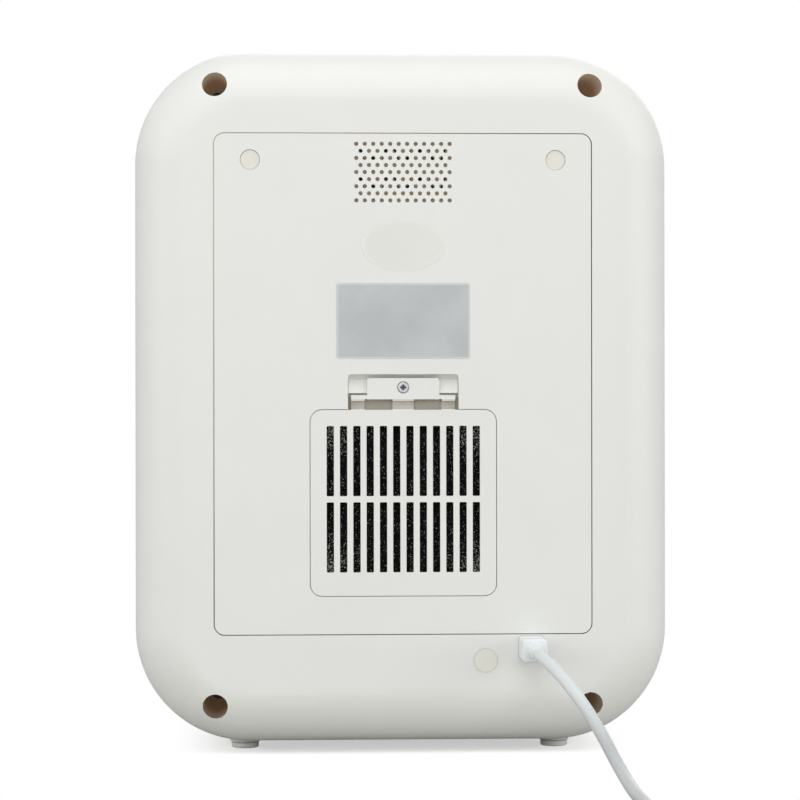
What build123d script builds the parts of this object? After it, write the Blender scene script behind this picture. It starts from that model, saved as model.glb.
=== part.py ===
from build123d import *
import os
from math import cos, pi, radians, sin, sqrt

# A cabinet sterilizer and dryer for baby bottles, in millimetres. The origin is on the floor under
# the middle of the cabinet. +Z is up, the door faces -Y and the back with its vents faces +Y.

os.makedirs("parts", exist_ok=True)

# Cabinet
body_width = 318.0
body_height = 412.0
body_depth = 300.0
foot_height = 6.8
corner_radius = 68.0
back_rounding = 34.0
front_rounding = 18.0
shell_wall = 2.8
rear_shell_depth = 90.0
seam_gap = 0.4
seat_gap = 0.3
pin_play = 0.05

# Screw wells in the back
well_inset = 48.2
well_drop = 22.3
well_rise = 23.5
well_bore = 14.8
well_wall = 2.2
well_floor = 3.0
screw_shank = 4.0
screw_head = 8.0
screw_head_height = 3.0
screw_length = 22.0
boss_diameter = 10.0
boss_depth = 26.0
thread_bite = 0.4
shank_play = 0.6
drive_slot = 1.0
drive_reach = 0.6

# Removable rear panel
panel_side = 48.0
panel_above = 51.6
panel_below = 66.0
panel_radius = 6.0
panel_thickness = 2.6
panel_gap = 0.55
panel_lip = 5.0
lip_thickness = 2.2

# Caps over the two panel screws
cap_diameter = 11.5
cap_thickness = 1.6
cap_depth = 0.6
cap_inset = 21.0
cap_drop = 15.3
cap_gap = 0.15
panel_screw_head = 7.0
panel_screw_shank = 3.0
panel_screw_length = 13.0

# Round outlet holes, in rows of twelve and eleven
outlet_hole = 2.5
outlet_pitch_x = 5.0
outlet_pitch_z = 4.16
outlet_columns = 12
outlet_rows = 9
outlet_drop = 22.6

# Vent cover with its spring latch
cover_size = 109.4
cover_radius = 7.0
cover_thickness = 2.2
cover_rise = 77.2
cover_gap = 0.4
cover_ledge = 3.0
slot_width = 4.3
slot_length = 41.3
slot_pitch = 7.82
slot_columns = 12
slot_row_pitch = 44.9
slot_rise = 2.15
slot_corner = 0.6
latch_width = 61.4
latch_bar_bottom = 6.4
latch_bar_height = 2.3
latch_tab_width = 42.6
latch_tab_height = 10.0
latch_tab_radius = 1.6
latch_strip_width = 8.0
latch_middle_width = 12.7
latch_depth = 1.0
recess_width = 65.2
recess_height = 21.0
recess_depth = 7.0
recess_wall = 2.0
recess_corner = 2.2
cover_screw_drop = 5.5
cover_screw_shank = 3.0
cover_screw_head = 6.4
cover_screw_well = 7.2
cover_screw_length = 7.5
cover_screw_play = 0.5
hook_width = 12.0
hook_spacing = 60.0
hook_thickness = 2.0
hook_reach = 6.2
hook_drop = 4.0

# Foam filter in its frame behind the vent cover
foam_thickness = 8.0
frame_wall = 2.0
grid_bar = 2.0

# Stickers and rating plate, all blank
sticker_thickness = 0.3
sticker_proud = 0.1
plate_width = 78.4
plate_height = 44.2
plate_radius = 1.5
plate_drop = 110.2
oval_width = 48.0
oval_height = 29.9
oval_drop = 65.8
round_sticker_diameter = 14.2
round_sticker_x = 48.4
round_sticker_drop = 15.8

# Door
door_bottom = 91.0
door_gap = 0.6
door_wall = 9.0
door_front_wall = 3.0
door_back_rounding = 6.0
shell_front_rounding = 6.0
window_side = 46.0
window_above = 54.8
window_below = 37.0
window_radius = 30.0
window_thickness = 4.0
window_ledge = 7.0
window_gap = 0.4
inner_panel_thickness = 2.4
gasket_section = 6.0
door_thickness = 31.4
hinge_edge = 6.0
lower_hinge_rise = 59.0
upper_hinge_drop = 88.8
knuckle_height = 25.0
knuckle_radius = 5.2
knuckle_play = 0.5
hinge_pin = 3.5
hinge_pin_length = 42.0
hinge_web = 5.0
hinge_web_reach = 26.0
grip_length = 84.0
grip_radius = 9.0
magnet_diameter = 12.0
magnet_thickness = 3.0
magnet_inset = 14.0
sensor_width = 8.4

# Control strip below the door
fascia_wall = 3.0
touch_width = 190.0
touch_height = 44.0
touch_radius = 12.0
touch_thickness = 1.6
board_thickness = 1.6

# Sterilizing chamber
chamber_side = 34.0
chamber_above = 42.8
chamber_sill = 17.0
chamber_behind = 91.7
chamber_radius = 10.0
liner_wall = 0.6
liner_flange = 8.0
front_wall = 3.0
rail_width = 7.0
rail_height = 5.0
lower_rack_rise = 42.0
upper_rack_rise = 154.0
wire = 3.0
rack_side_gap = 6.0
rack_end_gap = 8.5
rack_wires = 13
rack_radius = 10.0
tray_gap = 12.0
tray_height = 14.0
tray_wall = 1.8
tray_radius = 8.0
tray_taper = -4.0

# Ultraviolet lamp strips
lamp_length = 180.0
lamp_width = 24.0
lamp_lens = 2.0
lamp_margin = 4.0
lamp_count = 8
lamp_chip = 3.6
lamp_chip_height = 1.0
back_lamp_length = 130.0
back_lamp_x = 82.0
back_lamp_drop = 27.0

# Blower, heater and ducts
wheel_radius = 38.0
wheel_width = 26.0
wheel_hub = 8.0
wheel_blades = 24
blade_depth = 9.0
blade_sweep = 5.0
ring_gap = 0.4
shaft_diameter = 4.0
scroll_radius = 42.0
scroll_step = 5.0
duct_wall = 2.0
duct_depth = 57.0
duct_top_drop = 58.6
motor_diameter = 38.0
motor_length = 20.0
motor_to_wheel = 4.0
inlet_diameter = 64.0
fin_count = 13
fin_thickness = 1.0
heater_height = 22.0
warm_hole_width = 40.0
warm_hole_height = 24.0
warm_hole_x = 29.0
warm_hole_drop = 20.0
opening_radius = 3.0
exhaust_width = 84.0
exhaust_height = 42.0
exhaust_plate_gap = 8.0
exhaust_plate_thickness = 1.0
exhaust_hole = 3.2
exhaust_pitch_x = 6.9
exhaust_pitch_z = 5.6
exhaust_columns = 10
exhaust_rows = 6
thermostat_diameter = 14.0

# Power board and appliance inlet
power_board_width = 120.0
power_board_depth = 100.0
power_board_rise = 17.2
standoff_diameter = 7.0
transformer_size = (34.0, 30.0, 26.0)
capacitor_radius = 8.0
capacitor_height = 24.0
terminal_size = (40.0, 12.0, 12.0)
inlet_x = 75.2
inlet_drop = 8.0
plug_width = 14.6
plug_height = 13.4
plug_proud = 27.0
plug_inside = 11.0
plug_corner = 2.2
inlet_gap = 0.35
inlet_wall = 2.5
inlet_pin = 2.4
inlet_pin_spacing = 7.0
inlet_pin_length = 9.0

# Feet
foot_side = 65.0
foot_end = 56.0
foot_top = 19.4
foot_bottom = 17.6
pad_diameter = 16.4
pad_height = 3.2
pad_spigot = 6.0
pad_groove = 0.4

# Power cord
cord_diameter = 7.0
relief_length = 22.0
relief_wide = 8.8
relief_narrow = 7.6
coil_radius = 45.0
coil_pitch = 7.7
coil_layer_turns = 2.375
coil_step = 0.25
coil_x = -68.0
coil_y = 467.0
mains_relief_length = 26.0
mains_relief_wide = 11.0
mains_plug_length = 34.0
mains_plug_width = 35.0
mains_plug_height = 14.0
mains_plug_corner = 4.0
mains_plug_edge = 2.5
mains_pin = 4.0
mains_pin_length = 19.0
mains_pin_spacing = 18.6

# Worked out from the sizes above
back_y = body_depth / 2
front_y = -body_depth / 2
seam_y = back_y - rear_shell_depth
body_mid_z = foot_height + body_height / 2
body_top = foot_height + body_height
well_floor_y = seam_y + seam_gap + well_floor
well_heights = (foot_height + well_rise, body_top - well_drop)
well_places = [(side * (body_width / 2 - well_inset), height) for side in (-1, 1) for height in well_heights]
foot_x = body_width / 2 - foot_side
foot_y = body_depth / 2 - foot_end
foot_places = [(sx * foot_x, sy * foot_y) for sx in (-1, 1) for sy in (-1, 1)]
panel_width = body_width - 2 * panel_side
panel_top = body_top - panel_above
panel_bottom = foot_height + panel_below
panel_height = panel_top - panel_bottom
panel_mid_z = (panel_top + panel_bottom) / 2
panel_back = back_y - panel_thickness
cap_x = panel_width / 2 - cap_inset
cap_z = panel_top - cap_drop
cap_places = [(-cap_x, cap_z), (cap_x, cap_z)]
panel_screw_seat = back_y - panel_thickness - lip_thickness + cap_thickness - cap_depth
outlet_mid_z = panel_top - outlet_drop
oval_mid_z = panel_top - oval_drop
plate_mid_z = panel_top - plate_drop
round_sticker_z = panel_bottom - round_sticker_drop
cover_mid_z = panel_bottom + cover_rise
cover_top = cover_mid_z + cover_size / 2
cover_bottom = cover_mid_z - cover_size / 2
cover_back = back_y - cover_thickness
cover_opening = cover_size - 2 * cover_ledge
cover_seat = cover_size + 2 * cover_gap
cover_screw_z = cover_top + latch_bar_bottom + latch_bar_height + latch_tab_height - cover_screw_drop
latch_face = back_y - latch_depth
ledge_front = cover_back - seat_gap
ledge_back = ledge_front - lip_thickness
frame_back = ledge_back - foam_thickness - 2 * seat_gap
inlet_z = panel_bottom - inlet_drop
inlet_width = plug_width + 2 * inlet_gap
inlet_height = plug_height + 2 * inlet_gap
door_front_y = front_y
door_back_y = front_y + door_thickness
shell_front_y = door_back_y + door_gap
hinge_x = -body_width / 2 + hinge_edge
hinge_y = door_back_y - hinge_edge
hinge_heights = (door_bottom + lower_hinge_rise, body_top - upper_hinge_drop)
window_width = body_width - 2 * window_side
window_top = body_top - window_above
window_bottom = door_bottom + window_below
window_height = window_top - window_bottom
window_mid_z = (window_top + window_bottom) / 2
grip_mid_z = window_mid_z
magnet_x = body_width / 2 - magnet_inset
catch_z = grip_mid_z - magnet_diameter
sensor_z = hinge_heights[0]
fascia_top = door_bottom - door_gap / 2
touch_mid_z = (foot_height + fascia_top) / 2
chamber_width = body_width - 2 * chamber_side
chamber_top = body_top - chamber_above
chamber_floor = door_bottom + chamber_sill
chamber_height = chamber_top - chamber_floor
chamber_mid_z = (chamber_top + chamber_floor) / 2
liner_front = shell_front_y + front_wall + seat_gap
liner_back = back_y - chamber_behind
gasket_width = chamber_width + 2 * gasket_section
gasket_height = chamber_height + 2 * gasket_section
rack_heights = (chamber_floor + lower_rack_rise, chamber_floor + upper_rack_rise)
rack_width = chamber_width - 2 * rack_side_gap
rack_depth = liner_back - liner_front - 2 * rack_end_gap
rail_length = rack_depth - 2 * wire
tray_width = chamber_width - 2 * tray_gap
tray_depth = liner_back - liner_front - 2 * tray_gap
back_lamp_z = chamber_mid_z - back_lamp_drop
duct_front = liner_back + seat_gap
duct_back = duct_front + duct_depth
duct_top_z = outlet_mid_z - duct_top_drop
warm_hole_z = duct_top_z - warm_hole_drop
heater_z = (cover_mid_z + wheel_radius + warm_hole_z - warm_hole_height / 2) / 2
channel_width = scroll_radius + 3 * scroll_step
power_board_z = foot_height + power_board_rise
STANDING = (Align.CENTER, Align.CENTER, Align.MIN)
OUTWARD = (Align.MAX, Align.CENTER, Align.CENTER)
BACKWARD = (Align.CENTER, Align.MIN, Align.CENTER)


def facing_back(y):
    """A plane at depth y, seen from behind: its x runs to the viewer's right and its y is up."""
    return Plane.back.offset(y)


def facing_front(y):
    """A plane at depth y, seen from the door: its x is +X and its y is up."""
    return Plane.front.offset(-y)


def mark(piece, name):
    """Labels a finished piece and writes it."""
    piece.part.label = name
    export_step(piece.part, f"parts/{name}.step")


def cabinet_block(inset, y_from, y_to, rounding_back=0.0, rounding_front=0.0):
    """The cabinet's rounded outline, drawn in by inset, between two depths."""
    with BuildPart() as block:
        with BuildSketch(facing_back(y_from)):
            with Locations((0, body_mid_z)):
                RectangleRounded(body_width - 2 * inset, body_height - 2 * inset, corner_radius - inset)
        extrude(amount=y_to - y_from)
        if rounding_back:
            fillet(block.faces().sort_by(Axis.Y)[-1].edges(), rounding_back)
        if rounding_front:
            fillet(block.faces().sort_by(Axis.Y)[0].edges(), rounding_front)
    return block.part


def foot_bosses(y_sign):
    """Two tapered foot posts under a shell, each with a hole for its pad's spigot."""
    post_height = foot_height + shell_wall - pad_height - pad_groove
    with BuildPart() as posts:
        with Locations(*[(x, y, pad_height + pad_groove) for x, y in foot_places if y * y_sign > 0]):
            Cone(foot_bottom / 2, foot_top / 2, post_height, align=STANDING)
    return posts.part


def foot_holes(y_sign):
    """The spigot holes in the foot posts."""
    with BuildPart() as holes:
        with Locations(*[(x, y, 0) for x, y in foot_places if y * y_sign > 0]):
            Cylinder((pad_spigot + seat_gap) / 2, foot_height + shell_wall / 2, align=STANDING)
    return holes.part


# Screw wells: tubes from the back's curve to the seam, trimmed to the cabinet's outline
with BuildPart() as well_tubes:
    with BuildSketch(facing_back(seam_y + seam_gap)):
        with Locations(*well_places):
            Circle(well_bore / 2 + well_wall)
    extrude(amount=rear_shell_depth - seam_gap)
    add(cabinet_block(0, seam_y, back_y, rounding_back=back_rounding), mode=Mode.INTERSECT)

# The rear shell: a deep rounded cover with four screw wells and the seat of the rear panel
frame_width = panel_width + 2 * panel_gap
frame_height = panel_height + 2 * panel_gap
arm_back = panel_back - seat_gap - lip_thickness
with BuildPart() as rear_shell:
    add(cabinet_block(0, seam_y, back_y, rounding_back=back_rounding))
    add(foot_bosses(1))
    add(
        cabinet_block(shell_wall, seam_y, back_y - shell_wall, rounding_back=back_rounding - shell_wall),
        mode=Mode.SUBTRACT,
    )
    add(foot_holes(1), mode=Mode.SUBTRACT)
    # frame that the panel sinks into
    with BuildSketch(facing_back(arm_back)):
        with Locations((0, panel_mid_z)):
            RectangleRounded(
                frame_width + 2 * shell_wall,
                frame_height + 2 * shell_wall,
                panel_radius + shell_wall,
            )
    extrude(amount=panel_thickness + seat_gap + lip_thickness)
    with BuildSketch(facing_back(back_y)):
        with Locations((0, panel_mid_z)):
            RectangleRounded(frame_width, frame_height, panel_radius + panel_gap)
    extrude(amount=-panel_thickness - seat_gap, mode=Mode.SUBTRACT)
    with BuildSketch(facing_back(back_y)):
        with Locations((0, panel_mid_z)):
            RectangleRounded(panel_width - 2 * panel_lip, panel_height - 2 * panel_lip, panel_radius)
    extrude(amount=-3 * panel_thickness - lip_thickness, mode=Mode.SUBTRACT)
    # arms that take the two panel screws
    with BuildSketch(facing_back(arm_back)):
        for side in (-1, 1):
            with Locations((side * (cap_x + panel_width / 2) / 2, cap_z)):
                Rectangle(panel_width / 2 - cap_x + 2 * boss_diameter, boss_diameter)
    extrude(amount=-boss_diameter)
    with BuildSketch(facing_back(arm_back)):
        with Locations(*cap_places):
            Circle((panel_screw_shank - thread_bite) / 2)
    extrude(amount=-boss_diameter, mode=Mode.SUBTRACT)
    # wells, each with a floor for its screw
    add(well_tubes.part)
    with BuildSketch(facing_back(well_floor_y)):
        with Locations(*well_places):
            Circle(well_bore / 2)
    extrude(amount=rear_shell_depth, mode=Mode.SUBTRACT)
    with BuildSketch(facing_back(seam_y)):
        with Locations(*well_places):
            Circle((screw_shank + shank_play) / 2)
    extrude(amount=rear_shell_depth / 2, mode=Mode.SUBTRACT)
    # hole for the cord's connector
    with BuildSketch(facing_back(back_y)):
        with Locations((inlet_x, inlet_z)):
            RectangleRounded(inlet_width, inlet_height, plug_corner + inlet_gap)
    extrude(amount=-2 * shell_wall, mode=Mode.SUBTRACT)
    # shallow seat of the round sticker
    with BuildSketch(facing_back(back_y)):
        with Locations((round_sticker_x, round_sticker_z)):
            Circle(round_sticker_diameter / 2 + cap_gap)
    extrude(amount=sticker_proud - sticker_thickness, mode=Mode.SUBTRACT)
mark(rear_shell, "rear_shell")

# Four long screws at the bottom of the wells
with BuildPart() as shell_screws:
    with BuildSketch(facing_back(well_floor_y)):
        with Locations(*well_places):
            Circle(screw_head / 2)
    extrude(amount=screw_head_height)
    chamfer(shell_screws.faces().filter_by(Axis.Y).sort_by(Axis.Y)[-4:].edges(), shank_play)
    with BuildSketch(facing_back(well_floor_y)):
        with Locations(*well_places):
            Circle(screw_shank / 2)
    extrude(amount=-screw_length)
    with BuildSketch(facing_back(well_floor_y + screw_head_height)):
        with Locations(*well_places):
            Rectangle(screw_head * drive_reach, drive_slot)
            Rectangle(drive_slot, screw_head * drive_reach)
    extrude(amount=-screw_head_height / 2, mode=Mode.SUBTRACT)
mark(shell_screws, "shell_screws")


def recess_profile(grow=0.0):
    """Side profile of the latch recess: a curved scoop from the panel's face down to a flat floor."""
    depth, half = recess_depth + grow, recess_height / 2 + grow
    middle = (back_y, cover_top + recess_height / 2)
    low = cover_top - cover_ledge
    with BuildSketch(Plane.YZ) as profile:
        with BuildLine():
            scoop = EllipticalCenterArc(middle, depth, half, start_angle=90, arc_size=90)
            Polyline(scoop @ 1, (back_y - depth, low), (back_y, low), scoop @ 0)
        make_face()
    return profile.sketch


# The latch recess, seen from behind as a pocket with two rounded upper corners
with BuildPart() as latch_recess:
    extrude(recess_profile(), amount=recess_width / 2, both=True)
    with BuildSketch(facing_back(back_y)):
        with Locations((0, cover_top)):
            RectangleRounded(recess_width, 2 * recess_height, recess_corner)
    extrude(amount=-2 * recess_depth, mode=Mode.INTERSECT)

# The rear panel: outlet holes above, latch recess and filter frame below
with BuildPart() as rear_panel:
    with BuildSketch(facing_back(panel_back)):
        with Locations((0, panel_mid_z)):
            RectangleRounded(panel_width, panel_height, panel_radius)
    extrude(amount=panel_thickness)
    # recess walls and filter frame behind the panel
    extrude(recess_profile(recess_wall), amount=recess_width / 2 + recess_wall, both=True)
    with BuildSketch(facing_back(frame_back)):
        with Locations((0, cover_mid_z)):
            Rectangle(cover_seat + 2 * frame_wall, cover_seat + 2 * frame_wall)
    extrude(amount=panel_back - frame_back)
    with Locations(facing_back(back_y)):
        with Locations((0, panel_mid_z)):
            Box(panel_width, panel_height, 2 * recess_depth, align=STANDING, mode=Mode.SUBTRACT)
    add(latch_recess.part, mode=Mode.SUBTRACT)
    with BuildSketch(facing_back(back_y)):
        with Locations((0, cover_mid_z)):
            RectangleRounded(cover_seat, cover_seat, cover_radius + cover_gap)
    extrude(amount=ledge_front - back_y, mode=Mode.SUBTRACT)
    with BuildSketch(facing_back(back_y)):
        with Locations((0, cover_mid_z)):
            RectangleRounded(cover_opening, cover_opening, cover_radius)
    extrude(amount=frame_back + grid_bar - back_y, mode=Mode.SUBTRACT)
    with BuildSketch(facing_back(frame_back)):
        with Locations((0, cover_mid_z)):
            grid_pitch = cover_opening / 4
            with GridLocations(grid_pitch, grid_pitch, 4, 4):
                Rectangle(grid_pitch - grid_bar, grid_pitch - grid_bar)
    extrude(amount=grid_bar, mode=Mode.SUBTRACT)
    # room for the cover's hooks behind the ledge
    for side in (-1, 1):
        with Locations((side * hook_spacing / 2, ledge_back, cover_bottom + cover_gap)):
            Box(
                hook_width + hook_thickness,
                hook_reach + 2 * hook_thickness,
                2 * hook_drop,
                align=(Align.CENTER, Align.MAX, Align.MIN),
                mode=Mode.SUBTRACT,
            )
    # boss for the cover's screw
    with BuildSketch(facing_back(back_y - recess_depth)):
        with Locations((0, cover_screw_z)):
            Circle(cover_screw_shank / 2 + cover_screw_play + recess_wall)
    extrude(amount=recess_depth - cover_thickness - seat_gap)
    with BuildSketch(facing_back(back_y)):
        with Locations((0, cover_screw_z)):
            Circle(cover_screw_shank / 2 + cover_screw_play)
    extrude(amount=-recess_depth - recess_wall, mode=Mode.SUBTRACT)
    # outlet holes
    with BuildSketch(facing_back(back_y)):
        for row in range(outlet_rows):
            holes = outlet_columns - row % 2
            height = outlet_mid_z + (outlet_rows // 2 - row) * outlet_pitch_z
            with Locations((0, height)):
                with GridLocations(outlet_pitch_x, outlet_pitch_z, holes, 1):
                    Circle(outlet_hole / 2)
    extrude(amount=-panel_thickness, mode=Mode.SUBTRACT)
    # pockets for the caps and the screws under them
    with BuildSketch(facing_back(panel_back - lip_thickness)):
        with Locations(*cap_places):
            Circle(cap_diameter / 2 + cap_gap + recess_wall)
    extrude(amount=lip_thickness)
    shank_hole, cap_hole = panel_screw_shank / 2 + cap_gap, cap_diameter / 2 + cap_gap
    with Locations(*[facing_back(back_y) * Location((x, z, 0)) for x, z in cap_places]):
        CounterBoreHole(shank_hole, cap_hole, back_y - panel_screw_seat)
    # shallow seats of the rating plate and the oval sticker
    with BuildSketch(facing_back(back_y)):
        with Locations((0, plate_mid_z)):
            RectangleRounded(plate_width + 2 * cap_gap, plate_height + 2 * cap_gap, plate_radius)
        with Locations((0, oval_mid_z)):
            Ellipse(oval_width / 2 + cap_gap, oval_height / 2 + cap_gap)
    extrude(amount=sticker_proud - sticker_thickness, mode=Mode.SUBTRACT)
mark(rear_panel, "rear_panel")

# Caps and the screws under them
with BuildPart() as panel_caps:
    with BuildSketch(facing_back(back_y - cap_depth)):
        with Locations(*cap_places):
            Circle(cap_diameter / 2)
    extrude(amount=-cap_thickness)
    fillet(panel_caps.faces().filter_by(Axis.Y).sort_by(Axis.Y)[-2:].edges(), seat_gap)
mark(panel_caps, "panel_caps")

with BuildPart() as panel_screws:
    with BuildSketch(facing_back(panel_screw_seat)):
        with Locations(*cap_places):
            Circle(panel_screw_head / 2)
    extrude(amount=back_y - cap_depth - cap_thickness - seat_gap - panel_screw_seat)
    with BuildSketch(facing_back(panel_screw_seat)):
        with Locations(*cap_places):
            Circle((panel_screw_shank - thread_bite) / 2)
    extrude(amount=-panel_screw_length)
mark(panel_screws, "panel_screws")

# The vent cover: 24 slots, a U-shaped spring latch on three strips, and two hooks at the bottom
with BuildPart() as vent_cover:
    bar_z = cover_top + latch_bar_bottom + latch_bar_height / 2
    tab_z = cover_top + latch_bar_bottom + latch_bar_height + latch_tab_height / 2
    strip_height = latch_bar_bottom + latch_bar_height + cover_radius / 2
    strip_x = (latch_width - latch_strip_width) / 2
    with BuildSketch(facing_back(back_y - cover_thickness)):
        with Locations((0, cover_mid_z)):
            RectangleRounded(cover_size, cover_size, cover_radius)
        with Locations((0, cover_mid_z + slot_rise)):
            with GridLocations(slot_pitch, slot_row_pitch, slot_columns, 2):
                RectangleRounded(slot_width, slot_length, slot_corner, mode=Mode.SUBTRACT)
    extrude(amount=cover_thickness)
    with BuildSketch(facing_back(latch_face)):
        with Locations((0, bar_z)):
            Rectangle(latch_width, latch_bar_height)
        with Locations((0, tab_z - latch_tab_radius)):
            RectangleRounded(latch_tab_width, latch_tab_height + 2 * latch_tab_radius, latch_tab_radius)
        with Locations((-strip_x, bar_z - strip_height / 2), (strip_x, bar_z - strip_height / 2)):
            Rectangle(latch_strip_width, strip_height)
        with Locations((0, bar_z - strip_height / 2)):
            Rectangle(latch_middle_width, strip_height)
    extrude(amount=latch_depth - cover_thickness)
    # well and hole of the captive screw
    with Locations(facing_back(latch_face) * Location((0, cover_screw_z, 0))):
        CounterBoreHole(cover_screw_shank / 2 + cap_gap, cover_screw_well / 2, latch_depth)
    # hooks that reach behind the ledge
    hook_z = cover_bottom + cover_ledge + cover_gap + hook_thickness
    for side in (-1, 1):
        with BuildSketch(Plane.YZ.offset(side * hook_spacing / 2 - hook_width / 2)):
            with BuildLine():
                Polyline(
                    (back_y - cover_thickness, hook_z + hook_thickness),
                    (back_y - hook_reach - hook_thickness, hook_z + hook_thickness),
                    (back_y - hook_reach - hook_thickness, hook_z - hook_drop),
                    (back_y - hook_reach, hook_z - hook_drop),
                    (back_y - hook_reach, hook_z),
                    (back_y - cover_thickness, hook_z),
                    close=True,
                )
            make_face()
        extrude(amount=hook_width)
mark(vent_cover, "vent_cover")

# The captive screw in the latch tab
screw_seat = latch_face - latch_depth
with BuildPart() as vent_cover_screw:
    with BuildSketch(facing_back(screw_seat)):
        with Locations((0, cover_screw_z)):
            Circle(cover_screw_head / 2)
    extrude(amount=latch_depth)
    fillet(vent_cover_screw.faces().sort_by(Axis.Y)[-1].edges(), 0.5)
    with BuildSketch(facing_back(screw_seat)):
        with Locations((0, cover_screw_z)):
            Circle(cover_screw_shank / 2)
    extrude(amount=-cover_screw_length)
    with BuildSketch(facing_back(screw_seat + latch_depth)):
        with Locations((0, cover_screw_z)):
            Rectangle(cover_screw_head * 0.55, 0.8)
            Rectangle(0.8, cover_screw_head * 0.55)
    extrude(amount=-latch_depth * 0.7, mode=Mode.SUBTRACT)
mark(vent_cover_screw, "vent_cover_screw")

# The foam filter between the vent cover and the frame's grid
foam_size = cover_opening - 2 * seat_gap
with BuildPart() as filter_foam:
    with BuildSketch(facing_back(frame_back + grid_bar + seat_gap)):
        with Locations((0, cover_mid_z)):
            RectangleRounded(foam_size, foam_size, cover_radius - seat_gap)
    extrude(amount=foam_thickness - grid_bar)
    hook_room = 2 * hook_thickness + hook_drop + cover_gap
    with BuildSketch(facing_back(back_y - hook_reach - hook_thickness - seat_gap)):
        for side in (-1, 1):
            with Locations((side * hook_spacing / 2, cover_bottom + cover_ledge + hook_room / 2)):
                Rectangle(hook_width + 2 * hook_thickness, 2 * hook_room)
    extrude(amount=foam_thickness, mode=Mode.SUBTRACT)
mark(filter_foam, "filter_foam")

# Blank stickers and the rating plate
with BuildPart() as rating_plate:
    with BuildSketch(facing_back(back_y + sticker_proud - sticker_thickness)):
        with Locations((0, plate_mid_z)):
            RectangleRounded(plate_width, plate_height, plate_radius)
    extrude(amount=sticker_thickness)
mark(rating_plate, "rating_plate")

with BuildPart() as oval_sticker:
    with BuildSketch(facing_back(back_y + sticker_proud - sticker_thickness)):
        with Locations((0, oval_mid_z)):
            Ellipse(oval_width / 2, oval_height / 2)
    extrude(amount=sticker_thickness)
mark(oval_sticker, "oval_sticker")

with BuildPart() as round_sticker:
    with BuildSketch(facing_back(back_y + sticker_proud - sticker_thickness)):
        with Locations((round_sticker_x, round_sticker_z)):
            Circle(round_sticker_diameter / 2)
    extrude(amount=sticker_thickness)
mark(round_sticker, "round_sticker")

# Bosses that the long screws bite into, each with two ribs to the walls
with BuildPart() as screw_bosses:
    with BuildSketch(facing_back(seam_y)):
        with Locations(*well_places):
            Circle(boss_diameter / 2)
        for x, z in well_places:
            side, rise = (1 if x > 0 else -1), (1 if z > body_mid_z else -1)
            with Locations((x, z + rise * well_inset / 2)):
                Rectangle(shell_wall, well_inset)
            with Locations((x + side * well_inset / 2, z)):
                Rectangle(well_inset, shell_wall)
    extrude(amount=-boss_depth)
    add(cabinet_block(shell_wall / 2, shell_front_y, seam_y), mode=Mode.INTERSECT)

# The front shell: body of the cabinet, with the front wall round the chamber's mouth
with BuildPart() as front_shell:
    add(cabinet_block(0, shell_front_y, seam_y, rounding_front=shell_front_rounding))
    add(foot_bosses(-1))
    add(cabinet_block(shell_wall, shell_front_y + front_wall, seam_y), mode=Mode.SUBTRACT)
    add(foot_holes(-1), mode=Mode.SUBTRACT)
    # mouth of the chamber
    with BuildSketch(facing_front(shell_front_y)):
        with Locations((0, chamber_mid_z)):
            RectangleRounded(chamber_width, chamber_height, chamber_radius)
    extrude(amount=-front_wall, mode=Mode.SUBTRACT)
    # bosses with their screw holes
    add(screw_bosses.part)
    with BuildSketch(facing_back(seam_y)):
        with Locations(*well_places):
            Circle(screw_shank / 2 + pin_play)
    extrude(amount=-boss_depth, mode=Mode.SUBTRACT)
    # slots for the hinge arms
    with BuildSketch(facing_front(shell_front_y)):
        with Locations(*[(hinge_x, height) for height in hinge_heights]):
            Rectangle(hinge_web + 2 * seat_gap, knuckle_height + 2 * seat_gap)
    extrude(amount=-front_wall - door_back_rounding, mode=Mode.SUBTRACT)
    # standoffs of the power board
    standoff_spacing_x = power_board_width - 2 * standoff_diameter
    standoff_spacing_y = power_board_depth - 2 * standoff_diameter
    with BuildSketch(Plane.XY.offset(foot_height + shell_wall / 2)):
        with GridLocations(standoff_spacing_x, standoff_spacing_y, 2, 2):
            Circle(standoff_diameter / 2)
    extrude(amount=power_board_z - seat_gap - foot_height - shell_wall / 2)
    # pocket of the steel catch plate
    with BuildSketch(facing_front(shell_front_y)):
        with Locations((magnet_x, catch_z)):
            Circle(magnet_diameter / 2 + seat_gap)
    extrude(amount=-front_wall / 2, mode=Mode.SUBTRACT)
mark(front_shell, "front_shell")

with BuildPart() as catch_plate:
    with BuildSketch(facing_front(shell_front_y + front_wall / 2)):
        with Locations((magnet_x, catch_z)):
            Circle(magnet_diameter / 2)
    extrude(amount=front_wall / 2)
mark(catch_plate, "catch_plate")

with BuildPart() as door_sensor:
    with BuildSketch(facing_front(shell_front_y + front_wall + seat_gap)):
        with Locations((magnet_x, sensor_z)):
            RectangleRounded(sensor_width, 2 * magnet_diameter, sensor_width / 8)
    extrude(amount=-2 * magnet_thickness)
mark(door_sensor, "door_sensor")

# Rubber feet with a spigot up into their posts
with BuildPart() as rubber_feet:
    with BuildSketch(Plane.XY):
        with Locations(*foot_places):
            Circle(pad_diameter / 2)
    extrude(amount=pad_height)
    chamfer(rubber_feet.faces().sort_by(Axis.Z)[:4].edges(), 0.6)
    with BuildSketch(Plane.XY.offset(pad_height)):
        with Locations(*foot_places):
            Circle(pad_spigot / 2)
    extrude(amount=foot_height - pad_height)
mark(rubber_feet, "rubber_feet")


def front_piece(inset, y_from, y_to, low, high, rounding_back=0.0, rounding_front=0.0):
    """A slice of the cabinet's front block between two heights."""
    with BuildPart() as piece:
        add(cabinet_block(inset, y_from, y_to, rounding_back, rounding_front))
        with Locations((0, 0, low)):
            Box(2 * body_width, 2 * body_depth, high - low, align=STANDING, mode=Mode.INTERSECT)
    return piece.part


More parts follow.
